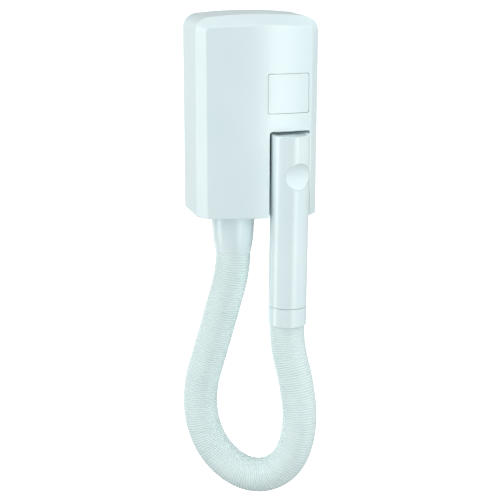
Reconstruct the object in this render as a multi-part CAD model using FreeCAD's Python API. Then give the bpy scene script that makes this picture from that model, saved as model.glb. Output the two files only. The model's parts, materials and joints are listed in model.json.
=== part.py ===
import FreeCAD
import Part
import math
import os

# Wall-mounted hair dryer: a blower box on the wall, a corrugated hose, and a
# handset that is docked in the lower right of the box front.
#
# Frame: the origin is the centre of the wall screw pattern on the wall plane.
# The wall is the plane y = 0, the front faces -Y, +X is to the right, +Z is up.
# Millimetres.

Vector = FreeCAD.Vector

# ---------------------------------------------------------------- driving sizes
# Box
BODY_WIDTH = 148.0
BODY_HEIGHT = 240.0
BODY_TOP = 110.0            # top of the box above the screw pattern
SIDE_DEPTH = 86.0           # wall to the start of the chamfer
CHAMFER_IN = 10.3           # how far the side chamfer runs inwards
CHAMFER_DEPTH = 15.6        # how far the side chamfer runs forwards
CHAMFER_DROP = 11.0         # how far the top chamfer runs downwards
FRONT_BOW = 11.4            # rise of the bowed front panel
TOP_ARCH = 4.9              # rise of the arched top
SIDE_TAPER = 1.3            # each side, at the bottom
FRONT_LEAN = 4.9            # the front falls back by this at the bottom
CORNER_R = 17.5             # top corners of the box
PANEL_CORNER_R = 8.5        # top corners of the front panel
EDGE_R = 1.4                # rounding of the outer edges
WALL = 2.6                  # moulded wall of the box

# Fixing to the wall
WALL_HOLE_SPACING_X = 90.0
WALL_HOLE_SPACING_Z = 160.0
WALL_HOLE_D = 5.5
PLATE_THICKNESS = 3.0
PLATE_RIM = 8.0             # height of the rim that the cover fits over

# Blanking plate of the shaver socket opening
BLANK_LEFT = 7.7
BLANK_WIDTH = 51.6
BLANK_LIFT = 68.2           # its top edge above the top of the recess
BLANK_HEIGHT = 47.1
BLANK_CORNER_R = 2.5

# Handset recess
RECESS_LEFT = 10.2
RECESS_HEIGHT = 103.3       # from the bottom of the box
RECESS_CORNER_R = 4.0
RECESS_MARGIN = 2.65        # air gap between the handset and the recess wall
CRADLE_WALL = 2.0

# Handset
HANDSET_R = 23.15
HANDSET_WALL = 2.2
HANDSET_LENGTH = 208.5      # tube, from the cuff joint to the outlet
HANDSET_TILT = 3.9          # degrees, the outlet end leans to the front
HANDSET_Y = -93.4           # axis at the cuff joint
HANDSET_DROP = 108.1        # cuff joint below the bottom of the box
CUFF_LENGTH = 25.0
CUFF_CHAMFER = 2.0
BUTTON_R = 15.85
BUTTON_HEIGHT = 161.2       # button centre above the cuff joint
BUTTON_TURN = 16.5          # degrees that the button is turned to the right
BUTTON_TRAVEL = 1.6
BUTTON_GAP = 0.25           # all round the button in its hole
BUTTON_WEB = 2.4            # wall behind the deepest part of the scoop
CUFF_SPIGOT = 14.0          # spigot of the cuff inside the tube
SPIGOT_WALL = 2.4
SWIVEL_GAP = 0.6            # joint line between the cuff and the tube
GROOVE_Z = 7.9              # circlip groove above the joint
GROOVE_WIDTH = 1.6

# Hose and its collar under the box
HOSE_D = 42.0
COLLAR_X = -24.0
COLLAR_Y = -60.0
COLLAR_R = 26.4
HOSE_RIM = 0.7              # the collar's mouth stands out round the hose by this
HOSE_SEAT = 2.8             # width of the cuff's face that the hose seats on
COLLAR_LENGTH = 45.6
COLLAR_WALL = 2.2
COLLAR_FLANGE = 5.0         # flange that rests on the bottom wall inside

# Blower
FAN_X = 2.0
SCROLL_LIFT = 5.5           # scroll above the top of the duct
FAN_R = 31.0
FAN_WIDTH = 24.0
BLADE_COUNT = 24
HUB_LENGTH = 12.0
INLET_R = 21.0
SCROLL_WIDTH = 38.0
SCROLL_WALL = 2.0
TONGUE_GAP = 3.5
SCROLL_GROWTH = 8.5
MOTOR_R = 17.0
MOTOR_LENGTH = 32.0
MOTOR_SHEET = 1.2
MOTOR_BOSS_R = 5.5
MOTOR_SCREW_X = 11.0        # each side of the shaft
BUSH_R = 4.0
SHAFT_R = 1.6

# Heater duct
DUCT_SIZE = 44.0
DUCT_TOP = 6.0
DUCT_LIFT = 40.0            # above the bottom of the box
DUCT_WALL = 1.2
COIL_COUNT = 8

# Air inlet slots in the bottom of the cover
SLOT_COUNT = 9
SLOT_PITCH = 6.0
SLOT_WIDTH = 3.0
SLOT_LEFT = 13.0
SLOT_BACK = -20.0
SLOT_FRONT = -66.0

# Fits
CLEAR = 0.3                 # between moulded parts
SLIDE_GAP = 0.35            # around parts that slide or turn
BUSH_GAP = 0.03             # shaft in its bushes
SCREW_R = 1.5
SCREW_HEAD_R = 2.8
SCREW_HEAD = 1.8
SCREW_HOLE_R = SCREW_R + 0.2
PILOT_R = 1.45
STUD_R = 1.5                # stud of the cradle clip
CLIP_SHEET = 0.6
CLIP_HEIGHT = 12.0
CLIP_REACH = 80.0           # degrees that each arm reaches round the handset
SWITCH_STANDOFF = 3.56      # docking switch behind the trough
SWITCH_DEPTH = 12.0
GRILLE_BAR = 1.8            # width of the outlet grille's rings
GRILLE_PITCH = 3.0
GRILLE_RINGS = 4
GRILLE_DEPTH = 2.4
GRILLE_INSET = 0.8          # below the end of the tube
PLUNGER_R = 2.2
PLUNGER_COLLAR_R = 3.5

# --------------------------------------------------------------- derived places
HALF_WIDTH = BODY_WIDTH / 2
BODY_BOTTOM = BODY_TOP - BODY_HEIGHT
PANEL_HALF = HALF_WIDTH - CHAMFER_IN
PANEL_DEPTH = SIDE_DEPTH + CHAMFER_DEPTH
BOW_R = (PANEL_HALF ** 2 + FRONT_BOW ** 2) / (2 * FRONT_BOW)
LEAN = math.degrees(math.atan2(FRONT_LEAN, BODY_HEIGHT))
INNER_BOTTOM = BODY_BOTTOM + WALL

RECESS_TOP = BODY_BOTTOM + RECESS_HEIGHT
BLANK_TOP = RECESS_TOP + BLANK_LIFT
HANDSET_Z = BODY_BOTTOM - HANDSET_DROP
RECESS_WIDTH = 2 * (HANDSET_R + RECESS_MARGIN)
RECESS_R = RECESS_WIDTH / 2
HANDSET_X = RECESS_LEFT + RECESS_R
TUBE_INNER_R = HANDSET_R - HANDSET_WALL
HANDSET = FreeCAD.Placement(
    Vector(HANDSET_X, HANDSET_Y, HANDSET_Z),
    FreeCAD.Rotation(Vector(1, 0, 0), HANDSET_TILT),
)

COLLAR_BOTTOM = BODY_BOTTOM - COLLAR_LENGTH
COLLAR_MOUTH_R = HOSE_D / 2 + HOSE_RIM
DUCT_BOTTOM = BODY_BOTTOM + DUCT_LIFT
SCROLL_BACK = COLLAR_Y + SCROLL_WIDTH / 2
SCROLL_FRONT = COLLAR_Y - SCROLL_WIDTH / 2
TONGUE_R = FAN_R + TONGUE_GAP
FAN_Z = DUCT_TOP + SCROLL_LIFT + SCROLL_WALL + TONGUE_R
OUTLET_RIGHT = COLLAR_X + SCROLL_WIDTH / 2
OUTLET_LEFT = FAN_X - TONGUE_R - SCROLL_GROWTH - SCROLL_WALL
OUTLET_BOTTOM = DUCT_TOP - 4.0
MOTOR_BACK = SCROLL_BACK + MOTOR_LENGTH
FAN_FRONT = COLLAR_Y - FAN_WIDTH / 2 - 1.0
FAN_BACK = FAN_FRONT + FAN_WIDTH
HUB_FRONT = FAN_BACK - HUB_LENGTH
SPIGOT_R = TUBE_INNER_R - SLIDE_GAP
CUFF_BORE = min(SPIGOT_R - SPIGOT_WALL, HOSE_D / 2 - HOSE_SEAT)
SCOOP_OFFSET = math.sqrt(HANDSET_R ** 2 - BUTTON_R ** 2)

X = Vector(1, 0, 0)
Y = Vector(0, 1, 0)
Z = Vector(0, 0, 1)


# --------------------------------------------------------------------- helpers
def box(x0, x1, y0, y1, z0, z1):
    """Box between two corners."""
    return Part.makeBox(x1 - x0, y1 - y0, z1 - z0, Vector(x0, y0, z0))


def rod(radius, start, length, axis=Y):
    """Cylinder from a start point along an axis."""
    return Part.makeCylinder(radius, length, Vector(*start), axis)


def ring(outer, inner, start, length, axis=Y):
    """Straight ring or tube."""
    bore = Vector(*start) - axis * 1.0
    return rod(outer, start, length, axis).cut(
        Part.makeCylinder(inner, length + 2.0, bore, axis)
    )


def fuse(shapes):
    """Join overlapping or touching shapes into one solid."""
    first = shapes[0]
    return first.multiFuse(shapes[1:]).removeSplitter()


def group(shapes):
    """Keep identical pieces as separate solids of one node."""
    return Part.makeCompound(shapes)


def lathe(points, centre):
    """Turn a closed (radius, z) outline about a vertical axis."""
    outline = Part.makePolygon([Vector(r, 0, z) for r, z in points + points[:1]])
    solid = Part.Face(outline).revolve(Vector(0, 0, 0), Z, 360)
    solid.translate(Vector(*centre))
    return solid


def rounded_box(x0, x1, y0, y1, z0, z1, radius):
    """Box along Y whose four long edges are rounded."""
    block = box(x0, x1, y0, y1, z0, z1)
    long_edges = [
        e for e in block.Edges
        if abs(e.Vertexes[0].Point.y - e.Vertexes[1].Point.y) > 1e-6
    ]
    return block.makeFillet(radius, long_edges)


def pan_screw(head_centre, axis, length):
    """Pan-head screw: the head seat is at head_centre, the shank runs along axis."""
    seat = Vector(*head_centre)
    shank = Part.makeCylinder(SCREW_R - 0.1, length, seat, axis)
    head = Part.makeCylinder(SCREW_HEAD_R, SCREW_HEAD, seat, axis * -1)
    slot_axis = Z if abs(axis.z) < 0.5 else Y
    side = axis.cross(slot_axis)
    corner = seat - axis * (SCREW_HEAD + 0.5) - side * 0.4 - slot_axis * 2.0
    cross = Part.makeBox(0.8, 4.0, 1.3, Vector(0, 0, 0))
    cross.Placement = FreeCAD.Placement(corner, FreeCAD.Rotation(side, slot_axis, axis, "XYZ"))
    return shank.fuse(head).cut(cross)


def coil_spring(start, axis, length, mean_r, wire_r, turns):
    """Compression spring between two planes."""
    lift = length - 2 * wire_r
    helix = Part.makeHelix(lift / turns, lift, mean_r)
    section = Part.Wire(Part.makeCircle(wire_r, Vector(mean_r, 0, 0), Y))
    spring = Part.Wire(helix).makePipeShell([section], True, True)
    spring.translate(Vector(0, 0, wire_r))
    spring.Placement = FreeCAD.Placement(
        Vector(*start), FreeCAD.Rotation(Z, axis)
    ).multiply(spring.Placement)
    return spring


def in_handset(shape):
    """Place a piece that is drawn upright about the handset axis."""
    placed = shape.copy()
    placed.Placement = HANDSET.multiply(placed.Placement)
    return placed


def at_button(shape):
    """Turn a piece that is drawn at the front of the tube to the button's side."""
    turned = shape.copy()
    turned.rotate(Vector(0, 0, 0), Z, BUTTON_TURN)
    return in_handset(turned)


def handset_axis_y(z):
    """Y of the docked handset's axis at a height."""
    return HANDSET_Y - (z - HANDSET_Z) * math.tan(math.radians(HANDSET_TILT))


# ------------------------------------------------------------------- box shapes
def arch_outline(half, top, rise, corner, y, bottom, taper):
    """Front outline of the box: flat bottom, tapering sides, arched top."""
    arch_r = (half ** 2 + rise ** 2) / (2 * rise)
    arch_z = top - arch_r
    turn_x = half - corner
    turn_z = arch_z + math.sqrt((arch_r - corner) ** 2 - turn_x ** 2)
    slope = math.atan2(turn_z - arch_z, turn_x)
    joint = Vector(arch_r * math.cos(slope), y, arch_z + arch_r * math.sin(slope))
    middle = Vector(turn_x + corner * math.cos(slope / 2), y, turn_z + corner * math.sin(slope / 2))
    shoulder = Vector(half, y, turn_z)
    foot = Vector(half - taper, y, bottom)

    def mirror(p):
        return Vector(-p.x, p.y, p.z)

    edges = [
        Part.LineSegment(mirror(foot), foot).toShape(),
        Part.LineSegment(foot, shoulder).toShape(),
        Part.Arc(shoulder, middle, joint).toShape(),
        Part.Arc(joint, Vector(0, y, top), mirror(joint)).toShape(),
        Part.Arc(mirror(joint), mirror(middle), mirror(shoulder)).toShape(),
        Part.LineSegment(mirror(shoulder), mirror(foot)).toShape(),
    ]
    return Part.Wire(edges)


def body_solid(inset, start_y=0.0):
    """Solid form of the box, taken in by an even inset from its outside."""
    chamfer = math.hypot(CHAMFER_IN, CHAMFER_DEPTH)
    top_run = CHAMFER_DEPTH + FRONT_BOW
    top_chamfer = math.hypot(top_run, CHAMFER_DROP)
    half = HALF_WIDTH - inset
    top = BODY_TOP - inset
    side = SIDE_DEPTH - inset * (chamfer - CHAMFER_DEPTH) / CHAMFER_IN
    panel_half = PANEL_HALF - inset * (chamfer - CHAMFER_IN) / CHAMFER_DEPTH
    panel = PANEL_DEPTH - inset
    front = panel + FRONT_BOW
    front_top = BODY_TOP - CHAMFER_DROP - inset * (top_chamfer - CHAMFER_DROP) / top_run
    past = 1.0                                       # the outline runs on past the bow
    past_share = (front + past - side) / (front - side)
    stretch = (front + past - side) / (panel - side)
    past_half = half - (half - panel_half) * stretch
    past_top = top - (top - front_top) * past_share
    panel_top = top - (top - front_top) * (panel - side) / (front - side)
    edge_top = front_top - TOP_ARCH * (panel_half / half) ** 2
    low = BODY_BOTTOM + inset - 3.0                  # trimmed flat below
    corner = max(CORNER_R - inset, 1.0)
    panel_corner = max(PANEL_CORNER_R - inset / 2, 1.0)
    past_corner = max(corner - (corner - panel_corner) * stretch, 0.5)

    back = arch_outline(half, top, TOP_ARCH, corner, start_y, low, SIDE_TAPER)
    edge = arch_outline(half, top, TOP_ARCH, corner, -side, low, SIDE_TAPER)
    nose = arch_outline(
        past_half, past_top, panel_top - edge_top, past_corner, -(front + past), low, SIDE_TAPER
    )
    pivot = Vector(0, -side, BODY_TOP)
    for outline in (edge, nose):
        outline.rotate(pivot, X, LEAN)
    block = Part.makeLoft([back, edge, nose], True, True)

    bow_r = BOW_R - inset
    bow = rod(bow_r, (0, BOW_R - PANEL_DEPTH - FRONT_BOW, BODY_BOTTOM - 40), BODY_HEIGHT + 80, Z)
    bow.rotate(pivot, X, LEAN)
    keep = box(-BODY_WIDTH, BODY_WIDTH, -2 * front, 50, BODY_BOTTOM + inset, BODY_TOP + 50)
    return block.common(bow).common(keep)


def recess_form(radius, top):
    """U-shaped trough about the docked handset's axis, open to the front and below."""
    length = 2 * BODY_HEIGHT
    trough = rod(radius, (0, 0, -BODY_HEIGHT / 2), length, Z)
    trough = trough.fuse(box(-radius, radius, -BODY_WIDTH, 0, -BODY_HEIGHT / 2, length / 2))
    trough = in_handset(trough)
    keep = box(-BODY_WIDTH, BODY_WIDTH, -2 * BODY_WIDTH, 0, BODY_BOTTOM - 40, top)
    return trough.common(keep)


def blank_opening(gap):
    """Prism of the square opening, smaller all round by a gap."""
    return rounded_box(
        BLANK_LEFT + gap, BLANK_LEFT + BLANK_WIDTH - gap,
        -2 * SIDE_DEPTH, -SIDE_DEPTH / 2,
        BLANK_TOP - BLANK_HEIGHT + gap, BLANK_TOP - gap,
        BLANK_CORNER_R,
    )


def soften_front(block, radius):
    """Round every outer edge of the box except those on the wall plane."""
    sharp = []
    for edge in block.Edges:
        reach = edge.BoundBox
        along_depth = reach.YMax > -1.0 and reach.ZMin > BODY_BOTTOM + 1.0
        near_corner = reach.ZMin > BODY_TOP - 30.0 and reach.XLength < 15.0
        seam = near_corner and reach.YLength > 15.0
        if reach.YMin < -1.0 and not along_depth and not seam:
            sharp.append(edge)
    return block.makeFillet(radius, sharp)


OUTER = soften_front(body_solid(0.0), EDGE_R)
CAVITY = body_solid(WALL, 1.0)
COVER_SCREWS = [(-HALF_WIDTH + 19.0, -9.0), (HALF_WIDTH - 19.0, -9.0)]
HOOK_X = [-40.0, 40.0]
CRADLE_SCREW_Z = [RECESS_TOP - 18.3, RECESS_TOP - 85.3]
CLIP_Z = RECESS_TOP - 43.3
PLUNGER_Z = RECESS_TOP - 65.3
SWITCH_EAR = 12.0
SWITCH_FRONT = handset_axis_y(PLUNGER_Z) + RECESS_R + CRADLE_WALL + SWITCH_STANDOFF
PLUNGER_TAIL = SWITCH_FRONT + 8.0
SCREW_SEAT = 0.9            # depth of the screw seats behind the trough wall
PILLAR_END = SWITCH_FRONT + CLEAR
STRAP_Z = DUCT_BOTTOM + 45.0
STRAP_POST_Y = -19.0
STRAP_X = [COLLAR_X - DUCT_SIZE / 2 - 6.0, COLLAR_X + DUCT_SIZE / 2 + 6.0]
SCROLL_POSTS = [
    (FAN_X - 42.0, FAN_Z + 40.0),
    (FAN_X + 36.0, FAN_Z + 40.0),
    (FAN_X + 36.0, FAN_Z - 38.0),
]
BOARD = (14.0, 60.0, BODY_BOTTOM + 26.0, BODY_BOTTOM + 76.0)
BOARD_Y = -14.0
BOARD_THICKNESS = 1.6
BOARD_POSTS = [(x, z) for x in (BOARD[0] + 3, BOARD[1] - 3) for z in (BOARD[2] + 3, BOARD[3] - 3)]
CABLE_ENTRY = (55.0, BOARD[3] + 50.0)
CABLE_R = 4.2
TERMINAL = (34.0, 64.0, BOARD[3] + 20.0, BOARD[3] + 36.0)
TERMINAL_DEPTH = 16.0
TERMINAL_WAYS = 3
CLAMP_POSTS = [(CABLE_ENTRY[0] + dx, CABLE_ENTRY[1] + 13.0) for dx in (-8.0, 8.0)]


# ------------------------------------------------------------------- box pieces
def front_cover():
    """One moulded shell: sides, chamfer, bowed front and bottom."""
    shell = OUTER.cut(CAVITY)
    shell = shell.cut(blank_opening(0.0))
    opening = rounded_box(
        RECESS_LEFT, RECESS_LEFT + RECESS_WIDTH, -2 * SIDE_DEPTH, HANDSET_Y,
        BODY_BOTTOM - 40, RECESS_TOP, RECESS_CORNER_R,
    )
    shell = shell.cut(opening.common(recess_form(RECESS_R, RECESS_TOP)))
    shell = shell.cut(recess_form(RECESS_R, INNER_BOTTOM + 1.0))
    shell = shell.cut(rod(COLLAR_R + CLEAR, (COLLAR_X, COLLAR_Y, BODY_BOTTOM - 1), WALL + 2, Z))
    for x, y in COVER_SCREWS:
        shell = shell.cut(rod(SCREW_HOLE_R, (x, y, BODY_BOTTOM - 1), WALL + 2, Z))
    slots = []
    for i in range(SLOT_COUNT):
        x = SLOT_LEFT + i * SLOT_PITCH
        slots.append(box(x, x + SLOT_WIDTH, SLOT_FRONT, SLOT_BACK, BODY_BOTTOM - 1, INNER_BOTTOM + 1))
    shell = shell.cut(Part.makeCompound(slots))
    ledges = []
    for x in HOOK_X:
        ledge = box(x - 8, x + 8, -14.7, -11.3, BODY_TOP - 10, BODY_TOP)
        ledges.append(ledge.common(body_solid(WALL / 2)))
    return fuse([shell] + ledges)


def back_plate():
    """Plate that is screwed to the wall and carries everything inside."""
    inset = WALL + CLEAR
    low = BODY_BOTTOM + inset

    def outline(extra, depth):
        wire = arch_outline(
            HALF_WIDTH - inset - extra, BODY_TOP - inset - extra, TOP_ARCH,
            CORNER_R - inset - extra, 0.0, low + extra, SIDE_TAPER,
        )
        return Part.Face(wire).extrude(Vector(0, -depth, 0))

    plate = outline(0.0, PLATE_THICKNESS)
    rim_depth = PLATE_THICKNESS + PLATE_RIM
    rim = outline(0.0, rim_depth).cut(outline(2.0, rim_depth + 1))
    bits = [plate, rim]
    base = -PLATE_THICKNESS

    def post(x, z, end, radius):
        return rod(radius, (x, base + 0.5, z), base + 0.5 - end, Y * -1)

    bits += [post(x, z, SCROLL_BACK, 4.0) for x, z in SCROLL_POSTS]
    bits += [post(x, STRAP_Z, STRAP_POST_Y, 4.0) for x in STRAP_X]
    bits += [post(HANDSET_X, z, PILLAR_END, 6.0) for z in CRADLE_SCREW_Z]
    bits += [post(x, z, BOARD_Y, 2.5) for x, z in BOARD_POSTS]
    bits += [post(x, z, base - 3.0, 3.5) for x, z in CLAMP_POSTS]
    for x, y in COVER_SCREWS:
        bits.append(rod(4.0, (x, y, low), 14.0, Z))
        bits.append(box(x - 4, x + 4, y, base + 0.5, low, low + 14.0))
    for x in HOOK_X:
        bits.append(box(x - 7, x + 7, -17.7, base + 0.5, BODY_TOP - 13.0, BODY_TOP - 10.4))
        bits.append(box(x - 7, x + 7, -17.7, -15.1, BODY_TOP - 13.0, BODY_TOP - 6.5))
    plate = fuse(bits)

    for sx in (-1, 1):
        for sz in (-1, 1):
            hole = (sx * WALL_HOLE_SPACING_X / 2, 1, sz * WALL_HOLE_SPACING_Z / 2)
            plate = plate.cut(rod(WALL_HOLE_D / 2, hole, 6.0, Y * -1))
    plate = plate.cut(rod(6.0, (CABLE_ENTRY[0], 1, CABLE_ENTRY[1]), 6.0, Y * -1))
    for x, z in SCROLL_POSTS:
        plate = plate.cut(rod(PILOT_R, (x, SCROLL_BACK - 1, z), 13.0))
    for x in STRAP_X:
        plate = plate.cut(rod(PILOT_R, (x, STRAP_POST_Y - 1, STRAP_Z), 11.0))
    for z in CRADLE_SCREW_Z:
        plate = plate.cut(rod(PILOT_R, (HANDSET_X, PILLAR_END - 1, z), 16.0))
    for x, z in BOARD_POSTS:
        plate = plate.cut(rod(PILOT_R, (x, BOARD_Y - 1, z), 9.0))
    for x, z in CLAMP_POSTS:
        plate = plate.cut(rod(PILOT_R, (x, base - 4, z), 6.5))
    for x, y in COVER_SCREWS:
        plate = plate.cut(rod(PILOT_R, (x, y, low - 1), 12.0, Z))
    return plate


def cover_screws():
    """Screws up through the bottom of the cover."""
    return group([pan_screw((x, y, BODY_BOTTOM), Z, 11.0) for x, y in COVER_SCREWS])


def socket_blank():
    """Square blanking plate, flush with the bowed front, on four snap legs."""
    gap = 0.45
    plate = OUTER.cut(CAVITY).common(blank_opening(gap))
    inner_y = -(PANEL_DEPTH + FRONT_BOW)
    legs = []
    for x in (BLANK_LEFT + 12.0, BLANK_LEFT + BLANK_WIDTH - 18.0):
        for z, way in ((BLANK_TOP, -1), (BLANK_TOP - BLANK_HEIGHT, 1)):
            near = z + way * (gap + 0.1)
            far = near + way * 1.6
            hook = near - way * 1.2
            catch_y = -(PANEL_DEPTH - WALL) + 1.0
            leg = box(x, x + 6, inner_y, catch_y + 6, min(near, far), max(near, far))
            barb = box(x, x + 6, catch_y + 1, catch_y + 4, min(hook, near), max(hook, near))
            legs.append(leg.fuse(barb).common(body_solid(WALL / 2)))
    return fuse([plate] + legs)


def handset_cradle():
    """Trough behind the recess that the handset docks in."""
    outer_top = RECESS_TOP - 0.2 + CRADLE_WALL
    outer = recess_form(RECESS_R + CRADLE_WALL, outer_top)
    trough = outer.cut(recess_form(RECESS_R, RECESS_TOP - 0.2))
    trough = trough.common(body_solid(WALL + CLEAR))
    pads = []
    for z in CRADLE_SCREW_Z:
        seat = handset_axis_y(z) + RECESS_R + SCREW_SEAT
        pads.append(rod(6.0, (HANDSET_X, seat, z), PILLAR_END - CLEAR - seat))
    seat = handset_axis_y(PLUNGER_Z) + math.sqrt(RECESS_R ** 2 - SWITCH_EAR ** 2) + 1.0
    for side in (-1, 1):
        ear_x = HANDSET_X + side * SWITCH_EAR
        pads.append(rod(3.2, (ear_x, seat, PLUNGER_Z), SWITCH_FRONT - seat))
    cradle = fuse([trough] + pads)
    for z in CRADLE_SCREW_Z:
        seat = handset_axis_y(z) + RECESS_R + SCREW_SEAT
        cradle = cradle.cut(rod(SCREW_HEAD_R + 0.4, (HANDSET_X, seat - 10, z), 10.0))
        cradle = cradle.cut(rod(SCREW_HOLE_R, (HANDSET_X, seat - 1, z), 20.0))
    for side in (-1, 1):
        pilot = (HANDSET_X + side * SWITCH_EAR, SWITCH_FRONT + 1, PLUNGER_Z)
        cradle = cradle.cut(rod(PILOT_R, pilot, 6.0, Y * -1))
    back = handset_axis_y(PLUNGER_Z)
    cradle = cradle.cut(rod(PLUNGER_R + SLIDE_GAP, (HANDSET_X, back, PLUNGER_Z), 40.0))
    back = handset_axis_y(CLIP_Z)
    return cradle.cut(rod(STUD_R + 0.15, (HANDSET_X, back, CLIP_Z), 40.0))


def cradle_screws():
    """Screws from inside the trough into the pillars of the back plate."""
    screws = []
    for z in CRADLE_SCREW_Z:
        seat = handset_axis_y(z) + RECESS_R + SCREW_SEAT
        screws.append(pan_screw((HANDSET_X, seat, z), Y, 16.0))
    return group(screws)


def cradle_clip():
    """Spring-steel C clip round the back of the docked handset, with its stud."""
    inner = HANDSET_R + SLIDE_GAP
    height = (CLIP_Z - HANDSET_Z) / math.cos(math.radians(HANDSET_TILT))
    band = ring(inner + CLIP_SHEET, inner, (0, 0, height - CLIP_HEIGHT / 2), CLIP_HEIGHT, Z)
    turn = math.radians(CLIP_REACH)
    edge = Vector(math.sin(turn), math.cos(turn), 0) * 60
    mouth = Part.makePolygon([
        Vector(0, 0, 0), edge, Vector(edge.x, -90, 0), Vector(-edge.x, -90, 0),
        Vector(-edge.x, edge.y, 0), Vector(0, 0, 0),
    ])
    cutter = Part.Face(mouth).extrude(Vector(0, 0, 400))
    band = in_handset(band.cut(cutter))
    y = handset_axis_y(CLIP_Z)
    shoulder = rod(3.0, (HANDSET_X, y + inner + 0.4, CLIP_Z), RECESS_MARGIN - 0.9)
    stud = rod(STUD_R, (HANDSET_X, y + inner + 0.4, CLIP_Z), RECESS_MARGIN + CRADLE_WALL + 3.2)
    return fuse([band, shoulder, stud])


def clip_nut():
    """Hexagon nut behind the cradle on the clip's stud."""
    y = handset_axis_y(CLIP_Z) + RECESS_R + CRADLE_WALL + 0.4
    radius = 3.1
    corners = []
    for i in range(7):
        turn = math.radians(60 * i)
        corners.append(
            Vector(HANDSET_X + radius * math.cos(turn), y, CLIP_Z + radius * math.sin(turn))
        )
    nut = Part.Face(Part.makePolygon(corners)).extrude(Vector(0, 2.4, 0))
    return nut.cut(rod(STUD_R + 0.05, (HANDSET_X, y - 1, CLIP_Z), 5.0))


# ---------------------------------------------------------------- docking switch
def dock_switch():
    """Switch body behind the cradle that the docked handset holds off."""
    body = box(HANDSET_X - 9, HANDSET_X + 9, SWITCH_FRONT, SWITCH_FRONT + SWITCH_DEPTH,
               PLUNGER_Z - 7, PLUNGER_Z + 7)
    ears = box(HANDSET_X - 16, HANDSET_X + 16, SWITCH_FRONT, SWITCH_FRONT + 3,
               PLUNGER_Z - 4, PLUNGER_Z + 4)
    body = fuse([body, ears])
    bore = (HANDSET_X, SWITCH_FRONT - 1, PLUNGER_Z)
    body = body.cut(rod(PLUNGER_R + SLIDE_GAP, bore, SWITCH_DEPTH))
    chamber = (HANDSET_X, SWITCH_FRONT + 1, PLUNGER_Z)
    body = body.cut(rod(PLUNGER_COLLAR_R + SLIDE_GAP, chamber, 6.3))
    for side in (-1, 1):
        hole = (HANDSET_X + side * SWITCH_EAR, SWITCH_FRONT - 1, PLUNGER_Z)
        body = body.cut(rod(SCREW_R + 0.1, hole, 6))
    return body


def dock_switch_screws():
    """Two screws through the ears of the docking switch."""
    seats = [(HANDSET_X + side * SWITCH_EAR, SWITCH_FRONT + 3, PLUNGER_Z) for side in (-1, 1)]
    return group([pan_screw(seat, Y * -1, 6.0) for seat in seats])


def dock_plunger():
    """Plunger that the back of the docked handset presses in."""
    tilt = math.cos(math.radians(HANDSET_TILT))
    tip = handset_axis_y(PLUNGER_Z) + HANDSET_R / tilt + CLEAR + 0.1
    pin = rod(PLUNGER_R, (HANDSET_X, tip, PLUNGER_Z), PLUNGER_TAIL - tip)
    collar = rod(PLUNGER_COLLAR_R, (HANDSET_X, SWITCH_FRONT + 5.4, PLUNGER_Z), 1.4)
    return fuse([pin, collar])


def plunger_spring():
    """Spring behind the plunger."""
    return coil_spring((HANDSET_X, PLUNGER_TAIL, PLUNGER_Z), Y, 2.9, 1.6, 0.35, 3)


# ----------------------------------------------------------------------- blower
def scroll_wire(offset, bottom, right, y):
    """Closed outline of the scroll and its outlet, offset outwards by a wall."""
    tongue = -90.0 - math.degrees(math.asin((FAN_X - right) / (TONGUE_R + offset)))
    steps = 12
    points = []
    for i in range(steps + 1):
        share = 1.0 - i / steps
        angle = math.radians(tongue + (180.0 - tongue) * share)
        radius = TONGUE_R + SCROLL_GROWTH * share + offset
        points.append(Vector(FAN_X + radius * math.cos(angle), y, FAN_Z + radius * math.sin(angle)))
    curve = Part.BSplineCurve()
    curve.interpolate(points)
    low_right = Vector(points[-1].x, y, bottom)
    low_left = Vector(points[0].x, y, bottom)
    return Part.Wire([
        curve.toShape(),
        Part.LineSegment(points[-1], low_right).toShape(),
        Part.LineSegment(low_right, low_left).toShape(),
        Part.LineSegment(low_left, points[0]).toShape(),
    ])


def scroll_prism(offset, bottom, right, y0, y1):
    """Solid of the scroll outline between two planes."""
    return Part.Face(scroll_wire(offset, bottom, right, y0)).extrude(Vector(0, y1 - y0, 0))


def fan_housing():
    """Rear half of the fan scroll with the mounting flange and the outlet."""
    outer = scroll_prism(SCROLL_WALL, OUTLET_BOTTOM, OUTLET_RIGHT,
                         SCROLL_FRONT + SCROLL_WALL, SCROLL_BACK)
    inner = scroll_prism(0.0, OUTLET_BOTTOM - 1, OUTLET_RIGHT - SCROLL_WALL,
                         SCROLL_FRONT, SCROLL_BACK - SCROLL_WALL)
    shell = outer.cut(inner)
    flange = box(FAN_X - 46, FAN_X + 41, SCROLL_BACK - SCROLL_WALL, SCROLL_BACK,
                 FAN_Z - 43, FAN_Z + 45)
    flange = flange.cut(box(FAN_X - 60, OUTLET_RIGHT + 4, -200, 0, FAN_Z - 60, FAN_Z - 32))
    shell = fuse([shell, flange])
    shell = shell.cut(rod(MOTOR_BOSS_R + 0.1, (FAN_X, SCROLL_BACK - 10, FAN_Z), 20.0))
    for x, z in SCROLL_POSTS:
        shell = shell.cut(rod(SCREW_HOLE_R, (x, SCROLL_BACK - 5, z), 10.0))
    for side in (-1, 1):
        hole = (FAN_X + side * MOTOR_SCREW_X, SCROLL_BACK - 5, FAN_Z)
        shell = shell.cut(rod(SCREW_HOLE_R, hole, 10.0))
    return shell


def fan_cover():
    """Front plate of the scroll with the round air inlet."""
    plate = scroll_prism(SCROLL_WALL, OUTLET_BOTTOM, OUTLET_RIGHT,
                         SCROLL_FRONT, SCROLL_FRONT + SCROLL_WALL - 0.05)
    lip = ring(INLET_R + 2.0, INLET_R, (FAN_X, SCROLL_FRONT - 3, FAN_Z), 4.0)
    return fuse([plate, lip]).cut(rod(INLET_R, (FAN_X, SCROLL_FRONT - 5, FAN_Z), 10.0))


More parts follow.
